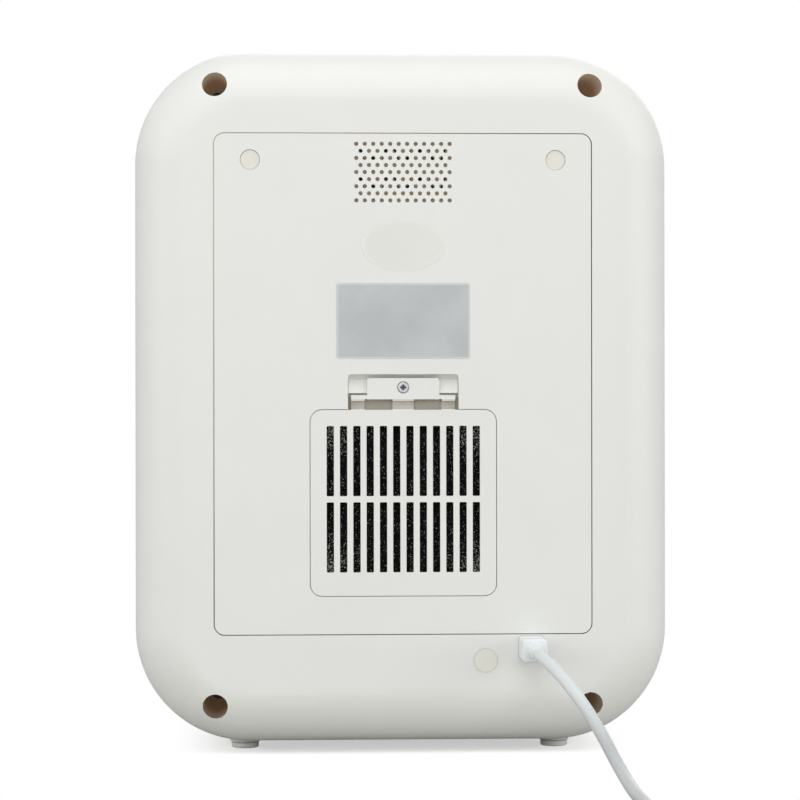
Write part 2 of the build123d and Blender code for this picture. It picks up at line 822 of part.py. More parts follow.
def rounded_face(width, height, radius, mid_z, plane):
    """A rounded rectangle centred at height mid_z on a plane that faces forwards or backwards."""
    with BuildSketch(plane) as face:
        with Locations((0, mid_z)):
            RectangleRounded(width, height, radius)
    return face.sketch


# Blocks left solid in the door
door_low = door_bottom + door_gap / 2
grip_block = 2 * (grip_radius + door_front_wall)
magnet_block = magnet_diameter + 2 * door_front_wall
magnet_heights = (catch_z, sensor_z)


def window_face(grow, y=door_front_y):
    """The window's outline, grown or drawn in, at depth y."""
    width, height, radius = window_width + 2 * grow, window_height + 2 * grow, window_radius + grow
    return rounded_face(width, height, radius, window_mid_z, facing_front(y))


# Hollow of the door frame, less the solid blocks round the window, the grip and the magnets
with BuildPart() as door_cavity:
    cavity_front = door_front_y + door_front_wall
    add(front_piece(door_wall, cavity_front, door_back_y, door_low + door_wall, body_top))
    extrude(window_face(door_front_wall), amount=-door_thickness, mode=Mode.SUBTRACT)
    with Locations((body_width / 2, door_back_y, grip_mid_z)):
        Box(grip_block, grip_block, grip_length + 2 * door_front_wall, mode=Mode.SUBTRACT)
    with Locations(*[(magnet_x, door_back_y, height) for height in magnet_heights]):
        Box(magnet_block, magnet_block, magnet_block, mode=Mode.SUBTRACT)

# Door frame, with its rounded front, window rebate, hinge notches and finger grip
with BuildPart() as door_frame:
    add(front_piece(0, door_front_y, door_back_y, door_low, body_top, door_back_rounding, front_rounding))
    add(door_cavity.part, mode=Mode.SUBTRACT)
    extrude(window_face(window_gap), amount=-window_thickness - seat_gap, mode=Mode.SUBTRACT)
    extrude(window_face(-window_ledge), amount=-door_thickness, mode=Mode.SUBTRACT)
    # finger grip behind the free edge
    with Locations((body_width / 2, door_back_y, grip_mid_z)):
        Cylinder(grip_radius, grip_length, mode=Mode.SUBTRACT)
    # notches round the hinge knuckles
    for height in hinge_heights:
        notch = knuckle_height + 2 * knuckle_play
        with Locations((hinge_x, hinge_y, height)):
            Cylinder(hinge_edge + seat_gap, notch, mode=Mode.SUBTRACT)
            Box(2 * hinge_edge, 2 * hinge_edge, notch, align=OUTWARD, mode=Mode.SUBTRACT)
            Box(hinge_web + 2 * knuckle_play, 2 * hinge_edge, notch, align=BACKWARD, mode=Mode.SUBTRACT)
            Cylinder(hinge_pin / 2 + pin_play, hinge_pin_length + 2 * knuckle_play, mode=Mode.SUBTRACT)
    # pockets of the two magnets
    with BuildSketch(facing_back(door_back_y)):
        with Locations(*[(-magnet_x, height) for height in magnet_heights]):
            Circle(magnet_diameter / 2 + seat_gap)
    extrude(amount=-magnet_thickness - seat_gap, mode=Mode.SUBTRACT)
mark(door_frame, "door_frame")

# Tinted window in the door's rebate
with BuildPart() as door_window:
    extrude(window_face(0, door_front_y + window_thickness), amount=window_thickness)
    fillet(door_window.faces().sort_by(Axis.Y)[0].edges(), 0.8)
mark(door_window, "door_window")


def gasket_ring(play, y):
    """The gasket's closed ring at depth y, drawn in by play on both of its sides."""
    outer_radius = chamber_radius + gasket_section - play
    with BuildSketch(facing_front(y)) as ring:
        with Locations((0, chamber_mid_z)):
            RectangleRounded(gasket_width - 2 * play, gasket_height - 2 * play, outer_radius)
            RectangleRounded(
                gasket_width - 2 * gasket_section + 2 * play,
                gasket_height - 2 * gasket_section + 2 * play,
                chamber_radius + play,
                mode=Mode.SUBTRACT,
            )
    return ring.sketch


# Inner panel of the door, let into the frame from behind, with the groove of the gasket
inner_front = door_back_y - inner_panel_thickness
inner_inset = door_wall + seat_gap
with BuildPart() as door_inner:
    add(front_piece(inner_inset, inner_front, door_back_y, door_low + inner_inset, body_top))
    window_room = window_face(door_front_wall + seat_gap, inner_front)
    extrude(window_room, amount=-inner_panel_thickness, mode=Mode.SUBTRACT)
    extrude(gasket_ring(0, door_back_y), amount=inner_panel_thickness / 2, mode=Mode.SUBTRACT)
    for height in hinge_heights:
        with Locations((hinge_x, hinge_y, height)):
            Box(4 * hinge_edge, 4 * hinge_edge, knuckle_height + 2 * knuckle_play, mode=Mode.SUBTRACT)
    with Locations(*[(magnet_x, door_back_y, height) for height in magnet_heights]):
        Box(magnet_block + seat_gap, magnet_block, magnet_block + seat_gap, mode=Mode.SUBTRACT)
    grip_room = grip_length + 2 * door_front_wall + 2 * seat_gap
    with Locations((body_width / 2, door_back_y, grip_mid_z)):
        Box(grip_block + 2 * seat_gap, grip_block, grip_room, mode=Mode.SUBTRACT)
mark(door_inner, "door_inner")

# Gasket in the inner panel's groove, round the chamber's mouth
gasket_front = door_back_y - inner_panel_thickness / 2 + seat_gap
gasket_back = shell_front_y - seat_gap
with BuildPart() as door_gasket:
    extrude(gasket_ring(seat_gap, gasket_front), amount=gasket_front - gasket_back)
mark(door_gasket, "door_gasket")

with BuildPart() as door_magnets:
    with BuildSketch(facing_front(door_back_y - magnet_thickness)):
        with Locations(*[(magnet_x, height) for height in magnet_heights]):
            Circle(magnet_diameter / 2)
    extrude(amount=-magnet_thickness)
mark(door_magnets, "door_magnets")

# Hinge: arms fixed inside the front shell, knuckles in the door's notches, and their pins
with BuildPart() as hinge_arms:
    with Locations(*[(hinge_x, hinge_y, height) for height in hinge_heights]):
        Cylinder(knuckle_radius, knuckle_height)
        Box(hinge_web, hinge_web_reach, knuckle_height, align=BACKWARD)
        Cylinder(hinge_pin / 2 + pin_play, knuckle_height, mode=Mode.SUBTRACT)
mark(hinge_arms, "hinge_arms")

with BuildPart() as hinge_pins:
    with Locations(*[(hinge_x, hinge_y, height) for height in hinge_heights]):
        Cylinder(hinge_pin / 2, hinge_pin_length)
mark(hinge_pins, "hinge_pins")


def touch_face(grow, y):
    """The touch panel's outline, grown by the given amount, at depth y and seen from the door."""
    width, height, radius = touch_width + 2 * grow, touch_height + 2 * grow, touch_radius + grow
    return rounded_face(width, height, radius, touch_mid_z, facing_front(y))


# Control strip below the door, with its touch panel and board
with BuildPart() as control_fascia:
    fascia_back = shell_front_y - seat_gap
    fascia_rounding = door_back_rounding / 2
    add(front_piece(0, door_front_y, fascia_back, foot_height, fascia_top, fascia_rounding, front_rounding))
    add(
        front_piece(
            fascia_wall,
            door_front_y + fascia_wall,
            fascia_back,
            foot_height,
            fascia_top - fascia_wall,
            rounding_front=front_rounding - fascia_wall,
        ),
        mode=Mode.SUBTRACT,
    )
    extrude(touch_face(seat_gap, door_front_y), amount=-touch_thickness, mode=Mode.SUBTRACT)
mark(control_fascia, "control_fascia")

with BuildPart() as touch_panel:
    extrude(touch_face(0, door_front_y + touch_thickness), amount=touch_thickness)
mark(touch_panel, "touch_panel")

with BuildPart() as control_board:
    board_back = door_front_y + fascia_wall + seat_gap + board_thickness
    extrude(touch_face(0, board_back), amount=board_thickness)
    with Locations(*[(x * touch_width / 8, board_back, touch_mid_z) for x in (-3, -1, 1, 3)]):
        Box(touch_height / 4, 3 * board_thickness, touch_height / 3, align=BACKWARD)
mark(control_board, "control_board")


def chamber_face(grow, y):
    """The chamber's outline, grown by the given amount, at depth y and seen from the door."""
    width, height, radius = chamber_width + 2 * grow, chamber_height + 2 * grow, chamber_radius + grow
    return rounded_face(width, height, radius, chamber_mid_z, facing_front(y))


# Stainless liner of the chamber, with its flange, lamp windows and air holes
back_lamp_window = (back_lamp_x, back_lamp_z)
with BuildPart() as chamber_liner:
    extrude(chamber_face(liner_flange, liner_front), amount=-liner_wall)
    extrude(chamber_face(liner_wall, liner_front), amount=liner_front - liner_back)
    extrude(chamber_face(0, liner_front), amount=liner_front - liner_back + liner_wall, mode=Mode.SUBTRACT)
    with BuildSketch(Plane.XY.offset(chamber_top)):
        with Locations((0, (liner_front + liner_back) / 2)):
            RectangleRounded(lamp_length, lamp_width, opening_radius)
    extrude(amount=2 * liner_wall, mode=Mode.SUBTRACT)
    with BuildSketch(facing_back(liner_back)):
        with Locations(back_lamp_window):
            RectangleRounded(lamp_width, back_lamp_length, opening_radius)
        with Locations((warm_hole_x, warm_hole_z)):
            RectangleRounded(warm_hole_width, warm_hole_height, opening_radius)
        with Locations((0, outlet_mid_z)):
            RectangleRounded(exhaust_width, exhaust_height - 2 * duct_wall, opening_radius)
    extrude(amount=-2 * liner_wall, mode=Mode.SUBTRACT)
mark(chamber_liner, "chamber_liner")

# Lamp strips: a clear lens over each window and a board with light chips behind it
with BuildPart() as roof_lamp_lens:
    with BuildSketch(Plane.XY.offset(chamber_top + liner_wall + seat_gap)):
        with Locations((0, (liner_front + liner_back) / 2)):
            RectangleRounded(lamp_length + 2 * lamp_margin, lamp_width + 2 * lamp_margin, opening_radius)
    extrude(amount=lamp_lens)
mark(roof_lamp_lens, "roof_lamp_lens")

roof_board_z = chamber_top + liner_wall + 2 * seat_gap + lamp_lens
with BuildPart() as roof_lamp_board:
    with BuildSketch(Plane.XY.offset(roof_board_z)):
        with Locations((0, (liner_front + liner_back) / 2)):
            with GridLocations(lamp_length / lamp_count, 1, lamp_count, 1):
                Rectangle(lamp_chip, lamp_chip)
    extrude(amount=lamp_chip_height)
    with BuildSketch(Plane.XY.offset(roof_board_z + lamp_chip_height)):
        with Locations((0, (liner_front + liner_back) / 2)):
            Rectangle(lamp_length, lamp_width)
    extrude(amount=board_thickness)
mark(roof_lamp_board, "roof_lamp_board")

with BuildPart() as back_lamp_lens:
    with BuildSketch(facing_back(liner_back + seat_gap)):
        with Locations(back_lamp_window):
            RectangleRounded(lamp_width + 2 * lamp_margin, back_lamp_length + 2 * lamp_margin, opening_radius)
    extrude(amount=lamp_lens)
mark(back_lamp_lens, "back_lamp_lens")

back_board_y = liner_back + 2 * seat_gap + lamp_lens
with BuildPart() as back_lamp_board:
    with BuildSketch(facing_back(back_board_y)):
        with Locations(back_lamp_window):
            with GridLocations(1, back_lamp_length / lamp_count, 1, lamp_count):
                Rectangle(lamp_chip, lamp_chip)
    extrude(amount=lamp_chip_height)
    with BuildSketch(facing_back(back_board_y + lamp_chip_height)):
        with Locations(back_lamp_window):
            Rectangle(lamp_width, back_lamp_length)
    extrude(amount=board_thickness)
mark(back_lamp_board, "back_lamp_board")

# Rails on the side walls, and the two wire racks that slide on them
rail_mid_y = (liner_front + liner_back) / 2
rail_x = chamber_width / 2 - seat_gap - rail_width / 2
with BuildPart() as rack_rails:
    for height in rack_heights:
        with Locations(*[(side * rail_x, rail_mid_y, height - seat_gap - rail_height) for side in (-1, 1)]):
            Box(rail_width, rail_length, rail_height, align=STANDING)
mark(rack_rails, "rack_rails")


def wire_rack(height):
    """A rack of round wires that lies on its rails at the given height."""
    middle = height + wire / 2
    with BuildPart() as rack:
        with BuildSketch(Plane.XY.offset(height)):
            with Locations((0, rail_mid_y)):
                RectangleRounded(rack_width, rack_depth, rack_radius)
                RectangleRounded(
                    rack_width - 2 * wire,
                    rack_depth - 2 * wire,
                    rack_radius - wire,
                    mode=Mode.SUBTRACT,
                )
        extrude(amount=wire)
        with BuildSketch(facing_back(rail_mid_y - rack_depth / 2 + wire / 2)):
            with Locations((0, middle)):
                with GridLocations(rack_width / (rack_wires + 1), 1, rack_wires, 1):
                    RegularPolygon(wire / 2, 8, major_radius=False)
        extrude(amount=rack_depth - wire)
    return rack


for name, height in zip(("lower_rack", "upper_rack"), rack_heights):
    mark(wire_rack(height), name)

# Drip tray on the chamber's floor
with BuildPart() as drip_tray:
    with BuildSketch(Plane.XY.offset(chamber_floor + seat_gap)):
        with Locations((0, rail_mid_y)):
            RectangleRounded(tray_width, tray_depth, tray_radius)
    extrude(amount=tray_height, taper=tray_taper)
    with BuildSketch(Plane.XY.offset(chamber_floor + seat_gap + tray_wall)):
        with Locations((0, rail_mid_y)):
            RectangleRounded(tray_width - 2 * tray_wall, tray_depth - 2 * tray_wall, tray_radius - tray_wall)
    extrude(amount=tray_height, taper=tray_taper, mode=Mode.SUBTRACT)
mark(drip_tray, "drip_tray")


def scroll_face(grow, y):
    """The blower's spiral with its straight channel up to the heater, seen from behind."""
    middle = (scroll_step, cover_mid_z + scroll_step)
    with BuildSketch(facing_back(y)) as face:
        with BuildLine():
            top = CenterArc((0, cover_mid_z), scroll_radius, 90, 90)
            CenterArc((scroll_step, cover_mid_z), scroll_radius + scroll_step, 180, 90)
            low = CenterArc(middle, scroll_radius + 2 * scroll_step, 270, 90)
            Polyline(low @ 1, (channel_width, duct_top_z), (0, duct_top_z), top @ 0)
        make_face()
        if grow:
            offset(amount=grow, kind=Kind.INTERSECTION)
    return face.sketch


# Air duct: motor seat, scroll and heater channel in one moulding, open at the back
motor_y = duct_front + duct_wall
wheel_y = motor_y + motor_length + motor_to_wheel
with BuildPart() as air_duct:
    extrude(scroll_face(duct_wall, duct_front), amount=duct_depth)
    extrude(scroll_face(0, duct_front + duct_wall), amount=duct_depth, mode=Mode.SUBTRACT)
    with BuildSketch(facing_back(duct_front)):
        with Locations((warm_hole_x, warm_hole_z)):
            RectangleRounded(warm_hole_width, warm_hole_height, opening_radius)
    extrude(amount=2 * duct_wall, mode=Mode.SUBTRACT)
mark(air_duct, "air_duct")

# Cover of the duct with the bell-mouthed inlet
with BuildPart() as fan_cover:
    extrude(scroll_face(duct_wall, duct_back + seat_gap), amount=duct_wall)
    with BuildSketch(facing_back(duct_back + seat_gap + duct_wall)):
        with Locations((0, cover_mid_z)):
            Circle(inlet_diameter / 2 + duct_wall)
    extrude(amount=frame_back - duct_back - duct_wall - 2 * seat_gap)
    with BuildSketch(facing_back(duct_back)):
        with Locations((0, cover_mid_z)):
            Circle(inlet_diameter / 2)
    extrude(amount=frame_back - duct_back + duct_wall, mode=Mode.SUBTRACT)
mark(fan_cover, "fan_cover")

with BuildPart() as fan_motor:
    with BuildSketch(facing_back(motor_y + seat_gap)):
        with Locations((0, cover_mid_z)):
            Circle(motor_diameter / 2)
    extrude(amount=motor_length - seat_gap)
    fillet(fan_motor.faces().sort_by(Axis.Y)[-1].edges(), 2.0)
    with BuildSketch(facing_back(motor_y + motor_length)):
        with Locations((0, cover_mid_z)):
            Circle(shaft_diameter)
    extrude(amount=motor_to_wheel / 2)
    with BuildSketch(facing_back(motor_y + motor_to_wheel)):
        with Locations((0, cover_mid_z)):
            Circle(shaft_diameter / 2 + pin_play)
    extrude(amount=motor_length, mode=Mode.SUBTRACT)
mark(fan_motor, "fan_motor")

# The shaft ends inside the wheel's hub
with BuildPart() as fan_shaft:
    with BuildSketch(facing_back(motor_y + motor_to_wheel + seat_gap)):
        with Locations((0, cover_mid_z)):
            Circle(shaft_diameter / 2)
    extrude(amount=motor_length + wheel_width / 2)
mark(fan_shaft, "fan_shaft")

# Blower wheel: back plate, hub, forward-curved blades and a front ring
with BuildSketch() as blade:
    with BuildLine():
        blade_root = (wheel_radius - blade_depth, 0)
        blade_tip = (wheel_radius - ring_gap, blade_sweep)
        ThreePointArc(blade_root, (wheel_radius - blade_depth * 0.42, blade_sweep * 0.1), blade_tip)
        ThreePointArc(blade_tip, (wheel_radius - blade_depth * 0.36, blade_sweep * 0.35), blade_root)
    make_face()
blade_face = blade.sketch

with BuildPart() as fan_wheel:
    with BuildSketch(facing_back(wheel_y)):
        with Locations((0, cover_mid_z)):
            Circle(wheel_radius)
    extrude(amount=duct_wall)
    with BuildSketch(facing_back(wheel_y)):
        with Locations((0, cover_mid_z)):
            Circle(wheel_hub)
    extrude(amount=wheel_width * 0.6)
    with BuildSketch(facing_back(wheel_y + duct_wall)):
        with Locations((0, cover_mid_z)):
            with PolarLocations(0, wheel_blades):
                add(blade_face)
    extrude(amount=wheel_width - 2 * duct_wall)
    with BuildSketch(facing_back(wheel_y + wheel_width - duct_wall)):
        with Locations((0, cover_mid_z)):
            Circle(wheel_radius)
            Circle(wheel_radius - blade_depth / 2, mode=Mode.SUBTRACT)
    extrude(amount=duct_wall)
    with BuildSketch(facing_back(wheel_y)):
        with Locations((0, cover_mid_z)):
            Circle(shaft_diameter / 2)
    extrude(amount=motor_length, mode=Mode.SUBTRACT)
mark(fan_wheel, "fan_wheel")

# Finned heater in the channel above the blower, and the thermostat beside it
with BuildPart() as heater:
    with BuildSketch(facing_back(motor_y + seat_gap)):
        with Locations((channel_width / 2, heater_z)):
            Rectangle(channel_width - 2 * seat_gap, heater_height)
            with GridLocations((channel_width - 2 * fin_thickness) / fin_count, 1, fin_count, 1):
                Rectangle(
                    (channel_width - 2 * fin_thickness) / fin_count - fin_thickness,
                    heater_height - 4 * fin_thickness,
                    mode=Mode.SUBTRACT,
                )
    extrude(amount=duct_depth - duct_wall - 2 * seat_gap)
mark(heater, "heater")

with BuildPart() as thermostat:
    with BuildSketch(Plane.YZ.offset(-channel_width - duct_wall - seat_gap)):
        with Locations(((duct_front + duct_back) / 2, heater_z)):
            Circle(thermostat_diameter / 2)
    extrude(amount=-thermostat_diameter / 3)
mark(thermostat, "thermostat")

# Outlet duct from the chamber to the perforated field, and the plate across its end
exhaust_end = panel_back - exhaust_plate_gap


def exhaust_face(grow, y):
    """The outlet duct's opening, grown by the given amount, seen from behind."""
    width, height = exhaust_width + 2 * grow, exhaust_height - 2 * duct_wall + 2 * grow
    return rounded_face(width, height, opening_radius + grow, outlet_mid_z, facing_back(y))


with BuildPart() as exhaust_duct:
    extrude(exhaust_face(duct_wall, duct_front), amount=exhaust_end - duct_front)
    extrude(exhaust_face(0, duct_front), amount=exhaust_end - duct_front, mode=Mode.SUBTRACT)
mark(exhaust_duct, "exhaust_duct")

with BuildPart() as exhaust_plate:
    extrude(exhaust_face(duct_wall, exhaust_end + seat_gap), amount=exhaust_plate_thickness)
    with BuildSketch(facing_back(exhaust_end + seat_gap)):
        with Locations((0, outlet_mid_z)):
            with GridLocations(exhaust_pitch_x, exhaust_pitch_z, exhaust_columns, exhaust_rows):
                Circle(exhaust_hole / 2)
    extrude(amount=exhaust_plate_thickness, mode=Mode.SUBTRACT)
mark(exhaust_plate, "exhaust_plate")

# Power board on its standoffs, with transformer, capacitors and terminal block
with BuildPart() as power_board:
    with BuildSketch(Plane.XY.offset(power_board_z)):
        Rectangle(power_board_width, power_board_depth)
    extrude(amount=board_thickness)
    board_top = power_board_z + board_thickness
    column = power_board_width / 5
    with Locations((-power_board_width / 4, 0, board_top)):
        Box(*transformer_size, align=STANDING)
    with Locations((column, -power_board_depth / 4, board_top), (column, 0, board_top)):
        Cylinder(capacitor_radius, capacitor_height, align=STANDING)
    with Locations((column, power_board_depth / 3, board_top)):
        Box(*terminal_size, align=STANDING)
mark(power_board, "power_board")

# Appliance inlet inside the rear shell, and its two pins
with BuildPart() as inlet_socket:
    inlet_front = panel_back - lip_thickness - 2 * seat_gap
    socket_floor = back_y - shell_wall - plug_inside - seat_gap
    with BuildSketch(facing_back(inlet_front)):
        with Locations((inlet_x, inlet_z)):
            RectangleRounded(inlet_width + 2 * inlet_wall, inlet_height + 2 * inlet_wall, plug_corner)
    extrude(amount=socket_floor - inlet_wall - inlet_front)
    with BuildSketch(facing_back(inlet_front)):
        with Locations((inlet_x, inlet_z)):
            RectangleRounded(inlet_width, inlet_height, plug_corner + inlet_gap)
    extrude(amount=socket_floor - inlet_front, mode=Mode.SUBTRACT)
    with BuildSketch(facing_back(socket_floor)):
        with Locations((inlet_x, inlet_z)):
            with GridLocations(inlet_pin_spacing, 1, 2, 1):
                Circle(inlet_pin / 2)
    extrude(amount=-inlet_wall, mode=Mode.SUBTRACT)
mark(inlet_socket, "inlet_socket")

with BuildPart() as inlet_pins:
    with BuildSketch(facing_back(socket_floor - 2 * inlet_wall)):
        with Locations((inlet_x, inlet_z)):
            with GridLocations(inlet_pin_spacing, 1, 2, 1):
                Circle(inlet_pin / 2)
    extrude(amount=2 * inlet_wall + inlet_pin_length)
mark(inlet_pins, "inlet_pins")

# The cord's connector in the inlet: a moulded block with one chamfered corner and two sockets
with BuildPart() as cord_connector:
    connector_front = back_y - shell_wall - plug_inside
    with BuildSketch(facing_back(connector_front)):
        with Locations((inlet_x, inlet_z)):
            RectangleRounded(plug_width, plug_height, plug_corner)
    extrude(amount=back_y + plug_proud - connector_front)
    fillet(cord_connector.faces().sort_by(Axis.Y)[-1].edges(), plug_corner / 2)
    with BuildSketch(facing_back(connector_front)):
        with Locations((inlet_x, inlet_z)):
            with GridLocations(inlet_pin_spacing, 1, 2, 1):
                Circle(inlet_pin / 2 + cap_gap)
    extrude(amount=inlet_pin_length + plug_corner, mode=Mode.SUBTRACT)
mark(cord_connector, "cord_connector")

# Its strain relief: a ringed sleeve that tapers to the cord
with BuildPart() as cord_relief:
    with BuildSketch(facing_back(back_y + plug_proud)):
        with Locations((inlet_x, inlet_z)):
            Circle(relief_wide / 2)
    with BuildSketch(facing_back(back_y + plug_proud + relief_length)):
        with Locations((inlet_x, inlet_z)):
            Circle(relief_narrow / 2)
    loft()
mark(cord_relief, "cord_relief")

# Route of the lead from its strain relief, down to the floor and along it to the coil
lead_route = [
    (-75.2, 199.0, 64.8),
    (-75.2, 214.0, 64.8),
    (-80.5, 229.0, 61.4),
    (-90.5, 247.0, 50.4),
    (-101.0, 270.0, 34.4),
    (-109.5, 298.0, 13.5),
    (-113.2, 325.0, 3.6),
    (-113.6, 349.0, 3.5),
    (-113.4, 385.0, 3.5),
    (-113.0, 419.0, 3.5),
    (-113.0, 453.0, 3.5),
]


def corner_radii(points):
    """The arc of each corner of a route, from 0.45 of the shorter run and half of the turn."""
    radii = []
    for before, corner, after in zip(points, points[1:], points[2:]):
        arriving, leaving = Vector(corner) - Vector(before), Vector(after) - Vector(corner)
        half_turn = radians(arriving.get_angle(leaving)) / 2
        radii.append(0.45 * min(arriving.length, leaving.length) * cos(half_turn) / sin(half_turn))
    return radii


lead_radii = corner_radii(lead_route)
print("lead corner radii", [round(radius) for radius in lead_radii])
with BuildPart() as cord_lead:
    with BuildLine() as lead_path:
        FilletPolyline(*lead_route, radius=lead_radii)
    lead_wire = lead_path.wires()[0]
    with BuildSketch(Plane(origin=lead_wire @ 0, z_dir=lead_wire % 0)):
        Circle(cord_diameter / 2)
    sweep(path=lead_wire)
lead_section = pi * cord_diameter**2 / 4
print("lead length", round(lead_wire.length, 1))
lead_ratio = cord_lead.part.volume / lead_section / lead_wire.length
print("lead volume over section times length", round(lead_ratio, 4))
mark(cord_lead, "cord_lead")

# The coil: turns spiral in on the floor, climb a layer while the spiral reverses, and spiral out on top
coil_turns = 2 * coil_layer_turns + 0.5


def coil_place(turns):
    """Where the cord's middle is after that many turns of the coil."""
    inward = coil_layer_turns
    climb = min(max((turns - inward) / 0.5, 0.0), 1.0)
    if turns <= inward:
        radius = coil_radius - coil_pitch * turns
    elif turns >= inward + 0.5:
        radius = coil_radius - coil_pitch * (coil_turns - turns)
    else:
        radius = coil_radius - coil_pitch * (inward + 0.5 * climb - 0.5 * climb**2)
    angle = pi - 2 * pi * turns
    rise = coil_pitch * climb**2 * (3 - 2 * climb)
    return Vector(coil_x + radius * cos(angle), coil_y + radius * sin(angle), cord_diameter / 2 + rise)


def coil_heading(turns, nearby=1e-4):
    """The cord's direction there."""
    return (coil_place(turns + nearby) - coil_place(turns - nearby)).normalized()


def biarc_middle(start, start_heading, end, end_heading):
    """Where the two equal-reach arcs that join two headings meet."""
    span, both = end - start, start_heading + end_heading
    spread = 2 * (1 - start_heading.dot(end_heading))
    along = span.dot(both)
    if spread < 1e-9:
        reach = span.dot(span) / (2 * along)
    else:
        reach = (sqrt(along**2 + spread * span.dot(span)) - along) / spread
    return (start + start_heading * reach + end - end_heading * reach) * 0.5


tail = 2 * cord_diameter
straight_start = Vector(coil_x - coil_radius, coil_y - tail, cord_diameter / 2)
plug_axis_z = mains_plug_height / 2
plug_start = Vector(coil_x + coil_radius + tail, coil_y + coil_radius + cord_diameter / 2, plug_axis_z)
stops = [(coil_place(0), Vector(0, 1, 0))]
quarter_count = round(coil_turns / coil_step)
stops += [(coil_place(i * coil_step), coil_heading(i * coil_step)) for i in range(1, quarter_count)]
stops += [(coil_place(coil_turns), Vector(1, 0, 0))]
stops += [(plug_start - Vector(cord_diameter, 0, 0), Vector(1, 0, 0))]
with BuildPart() as cord_coil:
    with BuildLine() as coil_path:
        Line(straight_start, stops[0][0])
        for (start, start_heading), (end, end_heading) in zip(stops, stops[1:]):
            middle = biarc_middle(start, start_heading, end, end_heading)
            first_arc = TangentArc(start, middle, tangent=start_heading)
            TangentArc(middle, end, tangent=first_arc % 1)
        Line(stops[-1][0], plug_start)
    coil_wire = coil_path.wires()[0]
    with BuildSketch(Plane(origin=coil_wire @ 0, z_dir=coil_wire % 0)):
        Circle(cord_diameter / 2)
    sweep(path=coil_wire)


def least_self_gap(path, steps=1200):
    """The least gap between two stretches of a coiled tube, measured on points along its middle."""
    places = [path @ (i / steps) for i in range(steps + 1)]
    apart = int(3 * cord_diameter / (path.length / steps))
    return min(
        (places[i] - places[j]).length for i in range(0, steps, 2) for j in range(i + apart, steps + 1, 2)
    ) - cord_diameter


print("coil length", round(coil_wire.length, 1), "least self-gap", round(least_self_gap(coil_wire), 2))
coil_ratio = cord_coil.part.volume / lead_section / coil_wire.length
print("coil volume over section times length", round(coil_ratio, 4))
mark(cord_coil, "cord_coil")

# Strain relief and two-pin mains plug, lying beside the coil
relief_plane = Plane(origin=plug_start, x_dir=(0, 1, 0), z_dir=(1, 0, 0))
with BuildPart() as mains_relief:
    with BuildSketch(relief_plane):
        Circle(relief_narrow / 2 + seat_gap)
    with BuildSketch(relief_plane.offset(mains_relief_length)):
        Circle(mains_relief_wide / 2)
    loft()
mark(mains_relief, "mains_relief")

plug_back_x = plug_start.X + mains_relief_length
with BuildPart() as mains_plug:
    with BuildSketch(Plane.XY):
        with BuildLine():
            half_wide, half_narrow = mains_plug_width / 2, mains_plug_height / 2
            shoulder = plug_back_x + mains_plug_length * 0.4
            plug_face_x = plug_back_x + mains_plug_length
            Polyline(
                (plug_back_x, plug_start.Y - half_narrow),
                (shoulder, plug_start.Y - half_wide),
                (plug_face_x, plug_start.Y - half_wide),
                (plug_face_x, plug_start.Y + half_wide),
                (shoulder, plug_start.Y + half_wide),
                (plug_back_x, plug_start.Y + half_narrow),
                close=True,
            )
        make_face()
    extrude(amount=mains_plug_height)
    fillet(mains_plug.edges().filter_by(Axis.Z), mains_plug_corner)
    fillet(mains_plug.faces().filter_by(Axis.Z).edges(), mains_plug_edge)
    with BuildSketch(relief_plane.offset(mains_relief_length + mains_plug_length)):
        with GridLocations(mains_pin_spacing, 1, 2, 1):
            Circle(mains_pin / 2)
    extrude(amount=-mains_plug_length / 3, mode=Mode.SUBTRACT)
mark(mains_plug, "mains_plug")

with BuildPart() as mains_pins:
    with BuildSketch(relief_plane.offset(mains_relief_length + mains_plug_length * 2 / 3)):
        with GridLocations(mains_pin_spacing, 1, 2, 1):
            Circle(mains_pin / 2)
    extrude(amount=mains_plug_length / 3 + mains_pin_length)
    fillet(mains_pins.faces().sort_by(Axis.X)[-2:].edges(), mains_pin * 0.35)
mark(mains_pins, "mains_pins")
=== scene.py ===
# %% [markdown]
# # A baby bottle sterilizer, seen from behind
# The cabinet is a white moulded box on four short feet. Its back carries a removable panel with a
# field of outlet holes, a blank oval sticker, a blank metal plate and a vent cover on a spring
# latch. The construction comes ready made as named pieces in metres, with +Z up, the door towards
# -Y and the back towards +Y. This lesson gives the pieces their edges, finishes, cord and light.
# Places are written in millimetres and turned into metres by one factor.

# %% Load the cabinet's pieces
from math import cos, pi, radians, sin, sqrt

import bmesh
import bpy
from mathutils import Matrix, Vector


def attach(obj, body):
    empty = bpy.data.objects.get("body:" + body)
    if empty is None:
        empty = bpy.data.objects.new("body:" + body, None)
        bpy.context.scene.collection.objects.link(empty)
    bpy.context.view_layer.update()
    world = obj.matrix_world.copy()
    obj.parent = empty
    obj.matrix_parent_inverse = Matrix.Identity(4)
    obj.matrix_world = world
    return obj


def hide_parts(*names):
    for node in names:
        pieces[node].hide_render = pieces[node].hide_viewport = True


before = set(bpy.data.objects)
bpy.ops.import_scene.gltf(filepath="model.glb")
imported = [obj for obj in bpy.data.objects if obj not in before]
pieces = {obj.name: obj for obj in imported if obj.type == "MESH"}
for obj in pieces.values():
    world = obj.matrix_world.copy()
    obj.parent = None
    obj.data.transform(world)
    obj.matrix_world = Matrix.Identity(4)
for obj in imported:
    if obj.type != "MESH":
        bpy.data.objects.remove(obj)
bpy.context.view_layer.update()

MM = 0.001

# %% [markdown]
# ## The camera
# The view is from a little left of the middle and far away, with a long lens held level. A long
# lens keeps the upright edges parallel. The lens is given for a 36 mm wide sensor, and the camera
# is turned about the upright axis only, plus a trace of roll from the tripod.

